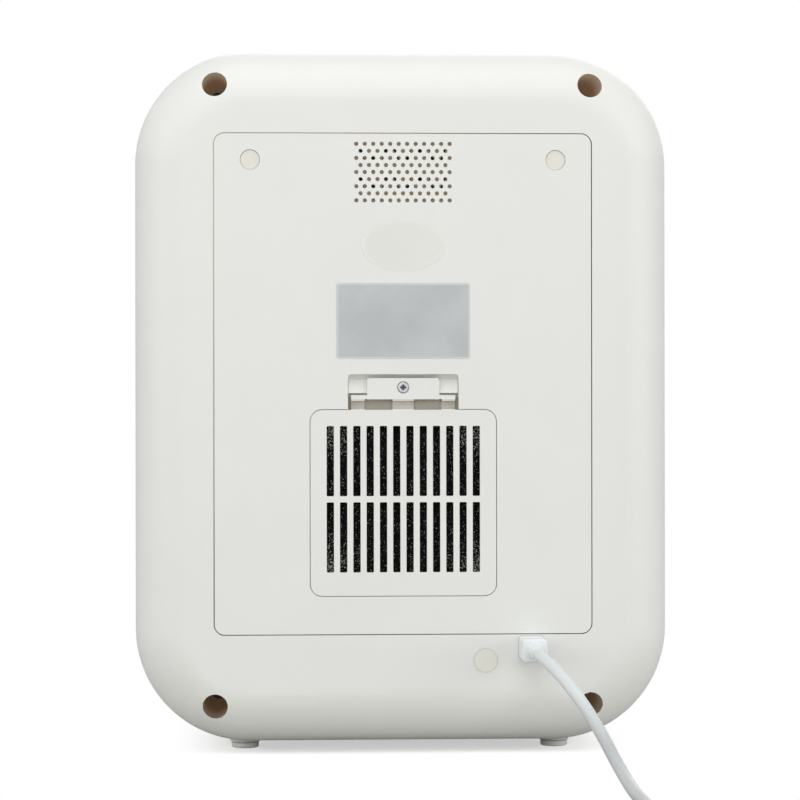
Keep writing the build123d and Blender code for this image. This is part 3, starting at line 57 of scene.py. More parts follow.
# %% Place the camera
scene = bpy.context.scene
scene.view_settings.view_transform = "Standard"
aim = Vector((0, 110, 210.5)) * MM
camera_distance = 1640 * MM
camera_turn = radians(2.4)
camera_roll = radians(-0.08)
sensor_width = 36
lens_in_pixels = 2719
picture_width = 800
camera_data = bpy.data.cameras.new("studio_camera")
camera_data.sensor_fit = "HORIZONTAL"
camera_data.sensor_width = sensor_width
camera_data.lens = sensor_width * lens_in_pixels / picture_width
camera_data.shift_x = -0.0006
camera_data.clip_start = 0.05
camera = bpy.data.objects.new("studio_camera", camera_data)
scene.collection.objects.link(camera)
towards_camera = Vector((sin(camera_turn), cos(camera_turn), 0))
camera.location = aim + towards_camera * camera_distance
camera.rotation_mode = "QUATERNION"
view_turn = (-towards_camera).to_track_quat("-Z", "Y")
camera.rotation_quaternion = view_turn @ Matrix.Rotation(camera_roll, 3, "Z").to_quaternion()
scene.camera = camera
print("camera at", [round(v, 3) for v in camera.location], "lens", round(camera_data.lens, 1))

# %% [markdown]
# ## The power cord
# A mains lead is one flexible tube, so it is one smooth curve. It leaves its connector straight,
# drops to the worktop under its own weight, runs along it and ends in a neat round coil with the
# plug beside it. A few points along the way are enough, because the curve will be a spline.

# %% The route of the lead
cord_thickness = 7.0
lead_route = [
    (-75.2, 199.0, 64.8),
    (-75.2, 214.0, 64.8),
    (-79.9, 229.0, 61.4),
    (-89.3, 247.0, 50.4),
    (-99.6, 270.0, 34.4),
    (-109.0, 298.0, 13.5),
    (-113.9, 325.0, 3.6),
    (-114.8, 349.0, 3.5),
    (-114.4, 385.0, 3.5),
    (-113.0, 419.0, 3.5),
    (-113.0, 453.0, 3.5),
]
print("lead:", len(lead_route), "points")

# %% [markdown]
# ## The coil of the spare cord
# The spare cord spirals in on the worktop, climbs one layer during half a turn and spirals out on
# top. Drawing that by hand would never come out even, so a formula sets the points: the angle
# turns steadily, and the radius and the height follow the number of turns.

# %% The turns of the coil
coil_middle = (-68.0, 467.0)
coil_radius = 45.0
coil_pitch = 7.7
coil_layer_turns = 2.375
climb_turns = 0.5
coil_turns = 2 * coil_layer_turns + climb_turns
points_per_turn = 16
spline_shrink = cos(pi / points_per_turn)


def coil_point(turns):
    """A point of the coil after so many turns, set out a little as the spline cuts corners."""
    climb = min(max((turns - coil_layer_turns) / climb_turns, 0.0), 1.0)
    if turns <= coil_layer_turns:
        radius = coil_radius - coil_pitch * turns
    elif turns >= coil_layer_turns + climb_turns:
        radius = coil_radius - coil_pitch * (coil_turns - turns)
    else:
        radius = coil_radius - coil_pitch * (coil_layer_turns + climb_turns * (climb - climb**2))
    angle = pi - 2 * pi * turns
    reach = radius / spline_shrink
    height = cord_thickness / 2 + coil_pitch * climb**2 * (3 - 2 * climb)
    return (coil_middle[0] + reach * cos(angle), coil_middle[1] + reach * sin(angle), height)


coil_steps = round(coil_turns * points_per_turn)
coil_route = [coil_point((i + 0.5) / points_per_turn) for i in range(coil_steps)]
print("coil:", coil_turns, "turns,", len(coil_route), "points")

# %% [markdown]
# ## One spline for the whole cord
# A NURBS curve of order 3 bends smoothly between its points, as a real lead does, and its round
# bevel makes it a tube whose radius each point sets. The order and the rule for the ends are set
# after the points are added, because a spline without points can't take them.

# %% Lay the cord as one spline
plug_start = (-9.0, 515.5, 7.0)
tail_route = [(-48.0, 512.6, 10.6), (-32.0, 514.6, 8.6), (-18.0, 515.5, 7.1), plug_start]
cord_points = [Vector(place) * MM for place in lead_route + coil_route + tail_route]
cord_curve = bpy.data.curves.new("power_cord", "CURVE")
cord_curve.dimensions = "3D"
cord_curve.bevel_depth = 1.0
cord_curve.bevel_resolution = 6
cord_curve.use_fill_caps = True
cord_curve.resolution_u = 8
cord_spline = cord_curve.splines.new("NURBS")
cord_spline.points.add(len(cord_points) - 1)
for point, place in zip(cord_spline.points, cord_points):
    point.co = (*place, 1.0)
    point.radius = cord_thickness / 2 * MM
cord_spline.order_u = 3
cord_spline.use_endpoint_u = True
power_cord = bpy.data.objects.new("power_cord", cord_curve)
scene.collection.objects.link(power_cord)
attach(power_cord, "cabinet")
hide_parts("cord_lead", "cord_coil")
print("cord:", len(cord_points), "control points")

# %% [markdown]
# ## Wiring a finish
# A finish is a small network of nodes. Writing out each node, setting and link takes many lines,
# so two short helpers do it: one gives a socket a plain value or a link, the other makes a node
# with its settings and sockets. The rest of the lesson wires every material with them.

# %% Helpers that add nodes
def feed(tree, socket, term):
    """Gives a socket a plain value, or a link where the term is another node's output."""
    if isinstance(term, bpy.types.NodeSocket):
        tree.links.new(term, socket)
    else:
        socket.default_value = term


def add_node(tree, kind, sockets=None, **settings):
    """A shader node with its settings, its sockets fed by name or number."""
    node = tree.nodes.new("ShaderNode" + kind)
    for setting, choice in settings.items():
        setattr(node, setting, choice)
    for socket, term in (sockets or {}).items():
        feed(tree, node.inputs[socket], term)
    return node


def reckon(tree, kind, operation, *terms):
    """The outputs of a Math or VectorMath node that works on the terms."""
    return add_node(tree, kind, dict(enumerate(terms)), operation=operation).outputs


print("helpers:", feed.__name__, add_node.__name__, reckon.__name__)

# %% [markdown]
# ## Patterns and ramps
# A pattern is a number from 0 to 1 at each place: noise, or the distance from a line or an edge.
# A ramp turns that number into a colour, and a mapped range turns it into a gloss or a strength.

# %% Helpers that make patterns, ranges and ramps
def mapped(tree, value, start, end, low=0.0, high=1.0, **settings):
    """The value's range start..end mapped to low..high."""
    sockets = {"Value": value, "From Min": start, "From Max": end, "To Min": low, "To Max": high}
    return add_node(tree, "MapRange", sockets, **settings).outputs["Result"]


def noise_on(tree, coordinates, scale, detail=2.0, stretch=(1, 1, 1)):
    """Noise on the given coordinates, with features of about 1/scale metres."""
    if stretch != (1, 1, 1):
        sockets = {"Vector": coordinates, "Scale": stretch}
        coordinates = add_node(tree, "Mapping", sockets).outputs["Vector"]
    sockets = {"Vector": coordinates, "Scale": scale, "Detail": detail}
    return add_node(tree, "TexNoise", sockets).outputs["Fac"]


def tone_ramp(tree, factor, stops):
    """Colours that follow one another as the factor passes the given places."""
    ramp = add_node(tree, "ValToRGB", {"Fac": factor})
    elements = ramp.color_ramp.elements
    while len(elements) < len(stops):
        elements.new(0.5)
    for element, (place, color) in zip(elements, stops):
        element.position = place
        element.color = (*color, 1)
    return ramp.outputs["Color"]


def beyond(tree, coordinate, middle, near, far):
    """Rises smoothly from 0 to 1 as one coordinate gets farther from a middle."""
    offset = reckon(tree, "Math", "SUBTRACT", coordinate, middle)["Value"]
    away = reckon(tree, "Math", "ABSOLUTE", offset)["Value"]
    return mapped(tree, away, near, far, interpolation_type="SMOOTHSTEP")


print("patterns:", noise_on.__name__, beyond.__name__, "ranges:", mapped.__name__, tone_ramp.__name__)

# %% [markdown]
# ## Finishes
# Nothing on this object is painted: every surface is moulded plastic, rubber, foam or bare metal.
# A real moulding is never one flat tone. It has faint clouds of colour, an uneven gloss, and the
# fine grain that the mould leaves. One recipe makes all of these from noise that reads the
# object's own coordinates, and each finish states its colour, its gloss and its grain.

# %% The recipe for a moulded or metal finish
gloss_swing = 0.05
grain_strength = 0.6


def shade(color, factor):
    """A colour scaled by a factor."""
    return tuple(min(channel * factor, 1.0) for channel in color)


def moulded(
    name, color, gloss,
    cloud=0.03, cloud_size=0.05, grain=0.0004, relief=0.00001, stretch=(1, 1, 1), metal=0.0,
):
    """A finish with two close tones, uneven roughness and a fine surface grain."""
    material = bpy.data.materials.new(name)
    material.use_nodes = True
    tree = material.node_tree
    shader = tree.nodes["Principled BSDF"]
    coordinates = add_node(tree, "TexCoord").outputs["Object"]
    clouds = noise_on(tree, coordinates, 1 / cloud_size, 3.0)
    stops = [(0.35, shade(color, 1 - cloud)), (0.65, shade(color, 1 + cloud))]
    feed(tree, shader.inputs["Base Color"], tone_ramp(tree, clouds, stops))
    smoothest, roughest = max(gloss - gloss_swing, 0.02), min(gloss + gloss_swing, 1.0)
    feed(tree, shader.inputs["Roughness"], mapped(tree, clouds, 0.3, 0.7, smoothest, roughest))
    fine = noise_on(tree, coordinates, 1 / grain, 2.0, stretch)
    bump = add_node(tree, "Bump", {"Strength": grain_strength, "Distance": relief, "Height": fine})
    feed(tree, shader.inputs["Normal"], bump.outputs["Normal"])
    shader.inputs["Metallic"].default_value = metal
    return material


print("a finish swings its gloss by", gloss_swing)

# %% [markdown]
# ## Building on a finish
# Some finishes need more than the recipe: a line round an edge, a shade near the floor, a glow in
# a deep hole. They start from the recipe, take up its nodes again and lay a second colour over
# the first by a factor, or read one axis of the coordinates.

# %% Helpers that build on a finish
def opened(material):
    """The material's node tree, its shader and its object coordinates."""
    tree = material.node_tree
    return tree, tree.nodes["Principled BSDF"], tree.nodes["Texture Coordinate"].outputs["Object"]


def along(tree, coordinates, axis):
    """The coordinate along one axis."""
    return add_node(tree, "SeparateXYZ", {"Vector": coordinates}).outputs[axis]


def overlay(tree, shader, color, factor=1.0, blend_type="MIX"):
    """Lays a colour over the shader's own, where the factor says."""
    base = shader.inputs["Base Color"]
    mix = add_node(tree, "Mix", data_type="RGBA", blend_type=blend_type)
    feed(tree, mix.inputs["A"], base.links[0].from_socket)
    feed(tree, mix.inputs["B"], color)
    feed(tree, mix.inputs["Factor"], factor)
    feed(tree, base, mix.outputs["Result"])


print("builders:", opened.__name__, along.__name__, overlay.__name__)

# %% [markdown]
# ## Plastics, rubbers and metals
# White plastic looks slightly green beside pure white. The soft caps are warmer, the steel parts
# are fully metallic, and the brushed liner has its grain stretched along X.

# %% Finishes of the cabinet, its back and its small parts
shell_plastic = moulded("satin_white_shell", (0.80, 0.803, 0.765), 0.42, cloud=0.006, relief=0.000012)
panel_plastic = moulded("matt_white_panel", (0.80, 0.803, 0.765), 0.50, cloud=0.008, relief=0.000015)
inner_plastic = moulded("inner_white_moulding", (0.72, 0.72, 0.70), 0.45, cloud=0.012)
dark_plastic = moulded("duct_grey_moulding", (0.05, 0.045, 0.04), 0.55, cloud=0.05)
fascia_plastic = moulded("touch_black_acrylic", (0.012, 0.012, 0.014), 0.12, cloud=0.05, relief=0.000002)
cap_rubber = moulded("cap_soft_rubber", (0.785, 0.755, 0.695), 0.62, cloud=0.015, relief=0.00002)
foot_rubber = moulded("foot_pad_rubber", (0.86, 0.86, 0.82), 0.7, cloud=0.04, relief=0.00002)
seal_rubber = moulded("door_seal_silicone", (0.62, 0.62, 0.60), 0.5, cloud=0.03)
plug_rubber = moulded("connector_moulding", (0.80, 0.84, 0.845), 0.42, cloud=0.01, cloud_size=0.02)
# painted shade: this dark steel stands for screws and screw crosses deep in shade
painted_shade_steel = moulded(
    "screw_recess_shadow", (0.12, 0.12, 0.125), 0.5, cloud=0.1, cloud_size=0.002, metal=0.6
)
screw_steel = moulded("screw_zinc_steel", (0.62, 0.62, 0.63), 0.28, cloud=0.08, cloud_size=0.004, metal=1.0)
brushed_steel = moulded(
    "brushed_liner_steel", (0.56, 0.56, 0.55), 0.3,
    cloud=0.04, grain=0.0005, stretch=(0.03, 1, 1), metal=1.0,
)
bright_wire = moulded("polished_rack_wire", (0.70, 0.70, 0.71), 0.14, cloud=0.03, metal=1.0)
pin_metal = moulded("nickel_pin", (0.66, 0.64, 0.58), 0.22, cloud=0.05, cloud_size=0.003, metal=1.0)
heater_metal = moulded("heater_fin_aluminium", (0.62, 0.62, 0.62), 0.35, cloud=0.06, metal=1.0)
board_green = moulded("circuit_board_lacquer", (0.02, 0.13, 0.06), 0.3, cloud=0.12, cloud_size=0.01)
print("finishes:", len(bpy.data.materials))

# %% [markdown]
# ## The cord's vinyl
# The soft vinyl of the lead is a cool white. Close to the worktop it turns away from the lamps
# and looks darker, so a ramp on the height paints that shade into its colour there.

# %% Vinyl with painted shade towards the worktop
def vinyl_finish():
    """The cord's vinyl, with painted shade where it comes down to the worktop."""
    material = moulded(
        "cord_soft_vinyl", (0.70, 0.735, 0.735), 0.38, cloud=0.01, cloud_size=0.02, relief=0.000008
    )
    tree, shader, coordinates = opened(material)
    height = mapped(tree, along(tree, coordinates, "Z"), 0.0, 60 * MM)
    stops = [(0.0, (0.82, 0.82, 0.82)), (0.4, (0.70, 0.70, 0.70)), (0.8, (1, 1, 1))]
    # painted shade: the height ramp darkens the vinyl near the worktop
    overlay(tree, shader, tone_ramp(tree, height, stops), blend_type="MULTIPLY")
    return material


cord_vinyl = vinyl_finish()
power_cord.data.materials.append(cord_vinyl)
print("cord finish:", cord_vinyl.name)

# %% [markdown]
# ## The two stickers
# Both stickers are blank paper. A thin line is painted round the edge: a painted highlight on the
# oval one, painted shade on the round one. Scaling the offset from the sticker's middle by its
# two radii makes the distance 1 all along the edge, round or oval.

# %% Paper with a painted line round its edge
rim_starts, rim_ends = 0.7, 0.3


def sticker_finish(name, color, painted_edge_color, middle, radii):
    """Paper with a painted line round its oval edge: a painted highlight when lighter, painted shade when
    darker.
    """
    material = moulded(name, color, 0.6, cloud=0.012, grain=0.0008)
    tree, shader, coordinates = opened(material)
    centre = (middle[0] * MM, 0, middle[1] * MM)
    offset = reckon(tree, "VectorMath", "SUBTRACT", coordinates, centre)["Vector"]
    to_radii = (1 / (radii[0] * MM), 0, 1 / (radii[1] * MM))
    scaled = reckon(tree, "VectorMath", "MULTIPLY", offset, to_radii)["Vector"]
    away = reckon(tree, "VectorMath", "LENGTH", scaled)["Value"]
    rim = mapped(tree, away, 1 - rim_starts / min(radii), 1 - rim_ends / min(radii))
    # painted edge line: a highlight where the colour is lighter, shade where it is darker
    overlay(tree, shader, (*painted_edge_color, 1), rim)
    return material


# the oval sticker's edge gets a painted highlight, the round one's edge painted shade
paper = sticker_finish(
    "sticker_paper", (0.775, 0.77, 0.725), (0.87, 0.87, 0.83), (0.0, 301.4), (24.0, 14.95)
)
round_paper = sticker_finish(
    "round_sticker_paper", (0.80, 0.79, 0.72), (0.68, 0.67, 0.63), (-48.4, 57.0), (7.1, 7.1)
)
print("papers:", paper.name, round_paper.name)

# %% [markdown]
# ## Places in the shade
# A narrow gap, a deep recess or the plate behind the outlet holes sees little of the lamps, and
# what light gets there has turned warm on the way. Each such place gets painted shade: a browner,
# darker colour. The gap round the panel is lighter towards the upper left, seen from behind, so a
# slanting pattern across X and Z paints a faint glow there, and the plate behind the holes glows
# faintly too. The finger scoop faces the lamps, and its colour is painted paler than its
# neighbours' as painted light.

# %% Painted shade, glow and light for the gaps, the recess, the scoop and the plate behind the holes
gap_slant = (1.0, 0.0, 0.85)
gap_glow_starts, gap_glow_full = 0.20, 0.38


def gap_finish():
    """Painted brown shade for the panel's gap, with a painted glow towards the upper left corner as seen
    from behind.
    """
    material = moulded("shaded_panel_gap", (0.26, 0.18, 0.12), 0.5, cloud=0.01)
    tree, shader, coordinates = opened(material)
    slant = reckon(tree, "VectorMath", "DOT_PRODUCT", coordinates, gap_slant)["Value"]
    # painted light: the emission makes the gap glow faintly towards the upper left
    lit = mapped(tree, slant, gap_glow_starts, gap_glow_full, 0.0, 0.30)
    shader.inputs["Emission Color"].default_value = (1.0, 0.90, 0.77, 1)
    feed(tree, shader.inputs["Emission Strength"], lit)
    return material


gap_shade_and_glow = gap_finish()
# painted shade: the cover's gap, the latch's floor and the strips are darker and browner than the panel
dark_gap_plastic = moulded("shaded_cover_gap", (0.26, 0.23, 0.19), 0.5, cloud=0.01)
recess_floor_plastic = moulded("shaded_latch_floor", (0.55, 0.505, 0.425), 0.5, cloud=0.01)
strip_plastic = moulded("shaded_panel_recess", (0.70, 0.66, 0.60), 0.5, cloud=0.01)
# painted light: paler than the panel because the scoop faces the lamps
painted_light_scoop = moulded("latch_scoop_painted_light", (0.86, 0.86, 0.82), 0.5, cloud=0.008)
# painted shade and glow: the cream plate is coloured brown and glows faintly by its own emission
air_plate_shade_and_glow = moulded("inner_air_plate_shade_and_glow", (0.23, 0.185, 0.145), 0.55, cloud=0.06, cloud_size=0.01)
air_plate_shader = air_plate_shade_and_glow.node_tree.nodes["Principled BSDF"]
air_plate_shader.inputs["Emission Color"].default_value = (0.24, 0.175, 0.125, 1)
air_plate_shader.inputs["Emission Strength"].default_value = 0.75
print("finishes:", len(bpy.data.materials))

# %% [markdown]
# ## Breaking the edges
# No moulded edge is knife sharp. A radius of a few tenths of a millimetre catches a thin line of
# light, and that line is what makes a slot or a panel gap read as real. Each large piece is copied,
# its loose triangles are merged, its flat faces are joined, and a small bevel runs along every
# sharp edge. Normals weighted by the area of the faces then keep the flats flat.

# %% A copy of a piece with softened edges
merge_distance = 0.005 * MM
flat_angle = radians(0.4)
sharp_angle = radians(35)


def joined_copy(node):
    """The node's mesh with its triangles merged and its flats joined into single faces."""
    work = bmesh.new()
    work.from_mesh(pieces[node].data)
    bmesh.ops.remove_doubles(work, verts=work.verts, dist=merge_distance)
    bmesh.ops.dissolve_limit(work, angle_limit=flat_angle, verts=work.verts, edges=work.edges)
    return work


def show(mesh_source, name, body, slot, materials, replaced=()):
    """Makes an object of a bmesh, gives it its finishes, hangs it on its body and hides the pieces it
    replaces.
    """
    mesh = bpy.data.meshes.new(name)
    mesh_source.to_mesh(mesh)
    mesh_source.free()
    for material in materials:
        mesh.materials.append(material)
    piece = bpy.data.objects.new(name, mesh)
    scene.collection.objects.link(piece)
    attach(piece, body)
    if replaced:
        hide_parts(*replaced)
    return piece


def soften(piece, width, segments=2):
    """A small bevel along the piece's sharp edges, with the flats kept flat."""
    piece.data.shade_smooth()
    bevel = piece.modifiers.new("broken_edges", "BEVEL")
    bevel.width = width * MM
    bevel.segments = segments
    bevel.limit_method = "ANGLE"
    bevel.angle_limit = sharp_angle
    flats = piece.modifiers.new("flat_faces", "WEIGHTED_NORMAL")
    flats.mode = "FACE_AREA"
    flats.weight = 100
    return piece


print("softening:", joined_copy.__name__, show.__name__, soften.__name__)

# %% [markdown]
# ## Choosing faces by their place
# A shaded finish belongs to a few faces of a moulding only. They are found by the middle of each
# face: inside the latch's recess, or upright and within the narrow gap round a cover.

# %% Tests for a face's place
recess_half_width = 33
recess_heights = (201, 225.6)
recess_front = 149.9


def within(value, span):
    """Whether a value lies inside a span."""
    return span[0] < value < span[1]


def in_gap(face, side_gap, side_height, end_reach, end_gaps, front):
    """Whether an upright face lies in the gap round a cover, beside it or at its ends."""
    middle = face.calc_center_median() / MM
    beside = within(abs(middle.x), side_gap) and within(middle.z, side_height)
    at_an_end = abs(middle.x) < end_reach and any(within(middle.z, gap) for gap in end_gaps)
    return (beside or at_an_end) and abs(face.normal.y) < 0.3 and middle.y > front


def in_recess(face):
    """Whether a face of the panel lies in the latch's recess."""
    middle = face.calc_center_median() / MM
    in_width = abs(middle.x) < recess_half_width
    return in_width and within(middle.z, recess_heights) and middle.y < recess_front


print("tests:", within.__name__, in_gap.__name__, in_recess.__name__)

# %% [markdown]
# ## The rear panel
# The lower part of the latch's recess lies in the shade of the latch. Its walls are single faces
# from top to bottom, so they are first cut where the shade ends, and the faces below the cut get
# the shaded finish. The gap round the vent cover gets the darkest one.

# %% Rear panel with a shaded recess and gap
shade_line = 212.3
cut_tolerance = 0.0001 * MM
cover_gap = dict(
    side_gap=(54.3, 56.5),
    side_height=(97, 203),
    end_reach=54,
    end_gaps=((94, 96), (204, 206.5)),
    front=140,
)
panel_mesh = joined_copy("rear_panel")
recess_geometry = [face for face in panel_mesh.faces if in_recess(face)]
for items in (panel_mesh.edges, panel_mesh.verts):
    recess_geometry += [item for item in items if any(in_recess(face) for face in item.link_faces)]
bmesh.ops.bisect_plane(
    panel_mesh,
    geom=recess_geometry,
    dist=cut_tolerance,
    plane_co=Vector((0, 0, shade_line)) * MM,
    plane_no=(0, 0, 1),
)
# painted shade goes on the recess below the shade line and on the cover's gap
for face in panel_mesh.faces:
    if in_recess(face) and face.calc_center_median().z / MM < shade_line:
        face.material_index = 1
    elif in_gap(face, **cover_gap):
        face.material_index = 2
panel_finishes = [panel_plastic, recess_floor_plastic, dark_gap_plastic]
rear_panel = show(
    panel_mesh, "rear_panel_moulding", "cabinet", "panel_white", panel_finishes, ("rear_panel",)
)
soften(rear_panel, 0.3)
print("panel faces:", len(rear_panel.data.polygons))

# %% [markdown]
# ## The vent cover
# The construction has a plain spring at the cover's top. Here that stretch is cut out between two
# planes and the openings are closed, which leaves the bar with its tab above and the slotted
# cover below. The strips that really join them come in a later cell.

# %% Vent cover without its plain spring
spring_cuts = (205.0, 210.9)
cover_mesh = joined_copy("vent_cover")
for height in spring_cuts:
    bmesh.ops.bisect_plane(
        cover_mesh,
        geom=cover_mesh.verts[:] + cover_mesh.edges[:] + cover_mesh.faces[:],
        dist=cut_tolerance,
        plane_co=Vector((0, 0, height)) * MM,
        plane_no=(0, 0, 1),
    )
between = (spring_cuts[0] + 0.1, spring_cuts[1] - 0.1)
spring_faces = [face for face in cover_mesh.faces if within(face.calc_center_median().z / MM, between)]
bmesh.ops.delete(cover_mesh, geom=spring_faces, context="FACES")
open_edges = [edge for edge in cover_mesh.edges if edge.is_boundary]
bmesh.ops.holes_fill(cover_mesh, edges=open_edges, sides=0)
vent_cover = show(
    cover_mesh, "vent_cover_moulding", "vent_cover", "panel_white", [panel_plastic], ("vent_cover",)
)
soften(vent_cover, 0.7)
print("spring faces taken out:", len(spring_faces))

# %% [markdown]
# ## The other mouldings
# The front shell, the door frame, the strip below the door, the caps, the connector, the plug and
# the feet keep their shape and only need their edges broken. A table gives the width of each
# bevel and how many segments round it.

# %% Soften the other mouldings
for node, body, slot, finish, width, segments in (
    ("front_shell", "cabinet", "shell_white", shell_plastic, 0.4, 2),
    ("door_frame", "door", "shell_white", shell_plastic, 0.4, 2),
    ("control_fascia", "cabinet", "shell_white", shell_plastic, 0.4, 2),
    ("panel_caps", "cabinet", "cap_rubber", cap_rubber, 0.2, 2),
    ("cord_connector", "cabinet", "cord_grey", plug_rubber, 0.5, 3),
    ("mains_plug", "cabinet", "cord_grey", plug_rubber, 0.5, 3),
    ("rubber_feet", "cabinet", "foot_rubber", foot_rubber, 0.3, 2),
):
    moulding = show(joined_copy(node), node + "_moulding", body, slot, [finish], (node,))
    soften(moulding, width, segments)

# %% [markdown]
# ## The spring latch
# The latch is a U-shaped spring: three strips run back from the bar, down behind it and forward
# under the cover's edge, so they lie deep in the shade. Each is a profile in the YZ plane, drawn
# out along X. A few vertices make the profile's face, and an extrusion makes it a bar.

# %% A bar with a given YZ profile
def profile_bar(work, outline, x_from, x_to):
    """Adds a bar whose YZ outline runs from one X to another."""
    start = [work.verts.new(Vector((x_from, y, z)) * MM) for y, z in outline]
    face = work.faces.new(start)
    drawn = bmesh.ops.extrude_face_region(work, geom=[face])
    far = [item for item in drawn["geom"] if isinstance(item, bmesh.types.BMVert)]
    bmesh.ops.translate(work, verts=far, vec=Vector((x_to - x_from, 0, 0)) * MM)
    bmesh.ops.recalc_face_normals(work, faces=work.faces)


strip_outline = [
    (148.9, 211.2), (148.9, 209.9), (144.9, 209.9), (144.5, 209.2), (144.5, 203.4),
    (147.7, 203.4), (147.7, 202.2), (143.3, 202.2), (143.3, 210.4), (144.2, 211.2),
]
strips = bmesh.new()
for x_from, x_to in ((-30.7, -22.7), (-6.35, 6.35), (22.7, 30.7)):
    profile_bar(strips, strip_outline, x_from, x_to)
# the strips' finish is painted shade, darker and warmer than the panel
latch_strips = show(strips, "latch_strips", "vent_cover", "panel_white", [strip_plastic])
soften(latch_strips, 0.2)
print("strip faces:", len(latch_strips.data.polygons))

# %% [markdown]
# ## The finger scoop
# Beside the tab the recess is a scoop for a fingertip, which rises in a slight curve to a thin
# shelf. It is the same kind of bar with a curved top. It is made in two parts, one on each side of
# the tab, so that the boss behind the tab stays clear of it.

# %% The finger scoop beside the tab
scoop_steps = 8
scoop_depth, scoop_height = 3.2, 10.1
scoop_curve = [
    (144.0 + scoop_depth * (k / scoop_steps) ** 0.8, 225.0 - scoop_height * k / scoop_steps)
    for k in range(scoop_steps + 1)
]
scoop_outline = scoop_curve + [(147.2, 214.5), (143.2, 214.5), (143.2, 225.0)]
scoop = bmesh.new()
for x_from, x_to in ((-32.4, -19.5), (19.5, 32.4)):
    profile_bar(scoop, scoop_outline, x_from, x_to)
# the scoop's paler colour is painted light
latch_scoop = show(scoop, "latch_scoop", "cabinet", "panel_white", [painted_light_scoop])
soften(latch_scoop, 0.2)
print("scoop faces:", len(latch_scoop.data.polygons))

# %% [markdown]
# ## A lip round the connector
# A moulded socket closes tightly round its connector. A thin lip just under the shell's surface
# fills the clearance that the construction leaves there. It is a cube, scaled to a plate, with
# its four short edges bevelled to the connector's corners.

# %% The lip
lip_middle = Vector((-75.2, 149.15, 64.8)) * MM
lip_size = Vector((15.28, 0.7, 14.08)) * MM
lip_corner = 2.5 * MM
lip = bmesh.new()
bmesh.ops.create_cube(lip, size=1.0)
bmesh.ops.scale(lip, vec=lip_size, verts=lip.verts)
bmesh.ops.translate(lip, vec=lip_middle, verts=lip.verts)
short_edges = [edge for edge in lip.edges if abs(edge.verts[0].co.y - edge.verts[1].co.y) > 0.1 * MM]
bmesh.ops.bevel(
    lip, geom=short_edges, offset=lip_corner, segments=8, affect="EDGES", profile=0.5, material=-1
)
connector_lip = show(lip, "connector_lip", "cabinet", "cord_grey", [plug_rubber])
print("lip faces:", len(connector_lip.data.polygons))

# %% [markdown]
# ## Where the cord starts
# The exit is the point where it leaves its relief, and the lead's route starts there.

# %% [markdown]
# ## The screw wells' finish
# The deep cover is one moulding, but looking into a screw well the white plastic looks brown,
# because light that reaches the bottom has passed through and bounced off the plastic many times.
# The wells get painted shade in a dark brown colour and a painted glow: a ramp on the depth sets
# the glow's colour, and the height of the well sets its strength.

# %% Painted shade and glow of the wells, darker with depth
well_floor, well_mouth = 66 * MM, 134 * MM
lowest, highest = 30 * MM, 400 * MM


def well_finish():
    """Painted shade with a painted brown glow near the well's mouth that fades towards its floor."""
    material = moulded("well_painted_shade_and_glow", (0.14, 0.10, 0.07), 0.5, cloud=0.08, cloud_size=0.012)
    tree, shader, coordinates = opened(material)
    # painted glow: emission colour by depth, strength by height
    depth = mapped(tree, along(tree, coordinates, "Y"), well_floor, well_mouth)
    stops = [(0.0, (0.085, 0.050, 0.029)), (0.5, (0.105, 0.060, 0.033)), (1.0, (0.20, 0.155, 0.115))]
    feed(tree, shader.inputs["Emission Color"], tone_ramp(tree, depth, stops))
    strength = mapped(tree, along(tree, coordinates, "Z"), lowest, highest, 0.50, 1.0)
    feed(tree, shader.inputs["Emission Strength"], strength)
    return material


well_shade_and_glow = well_finish()
print("well finish:", well_shade_and_glow.name)

# %% [markdown]
# ## The rear shell
# The faces inside the four wells get the painted brown shade and glow, and those in the gap round
# the panel the painted shade of the gap. The seat that the panel rests on is seen through that gap,
# so it has it too.

# %% Rear shell with painted shade in its wells and gap
well_spacing = (221.6, 366.2)
well_middle = 213.4
well_radius = 7.4
well_bottom = 60
seat_half_width = 113
seat_heights = (71, 369)
seat_depths = (130, 149.2)
panel_gap = dict(
    side_gap=(110.9, 111.6),
    side_height=(74, 366),
    end_reach=110,
    end_gaps=((366.9, 367.7), (72.3, 73.1)),
    front=130,
)
well_axes = [
    (side * well_spacing[0] / 2, well_middle + level * well_spacing[1] / 2)
    for side in (-1, 1)
    for level in (-1, 1)
]


def in_a_well(face):
    """Whether a face of the shell lies inside one of the screw wells."""
    middle = face.calc_center_median() / MM
    off_axis = min(sqrt((middle.x - x) ** 2 + (middle.z - z) ** 2) for x, z in well_axes)
    return off_axis < well_radius + 0.1 and middle.y > well_bottom


def on_the_seat(face):
    """Whether a face of the shell is the seat behind the panel."""
    middle = face.calc_center_median() / MM
    behind = abs(middle.x) < seat_half_width and within(middle.z, seat_heights)
    return behind and within(middle.y, seat_depths) and face.normal.y > 0.9


shell_mesh = joined_copy("rear_shell")
counts = [0, 0, 0]
# painted shade and glow in the wells, painted shade in the gap and on the seat
for face in shell_mesh.faces:
    if in_gap(face, **panel_gap) or (on_the_seat(face) and not in_a_well(face)):
        face.material_index = 2
    elif in_a_well(face):
        face.material_index = 1
    counts[face.material_index] += 1
shell_finishes = [shell_plastic, well_shade_and_glow, gap_shade_and_glow]
rear_shell = show(
    shell_mesh, "rear_shell_moulding", "cabinet", "shell_white", shell_finishes, ("rear_shell",)
)
soften(rear_shell, 0.4)
print("faces outside, in the wells and in the gap:", counts)

# %% [markdown]
# ## The latch screw
# The screw stays in the latch's tab. Its cross and the gap round its head are in shade, and a
# ramp on the distance from its axis paints that shade on both. The faces of the cross also get
# the dark steel of painted shade.

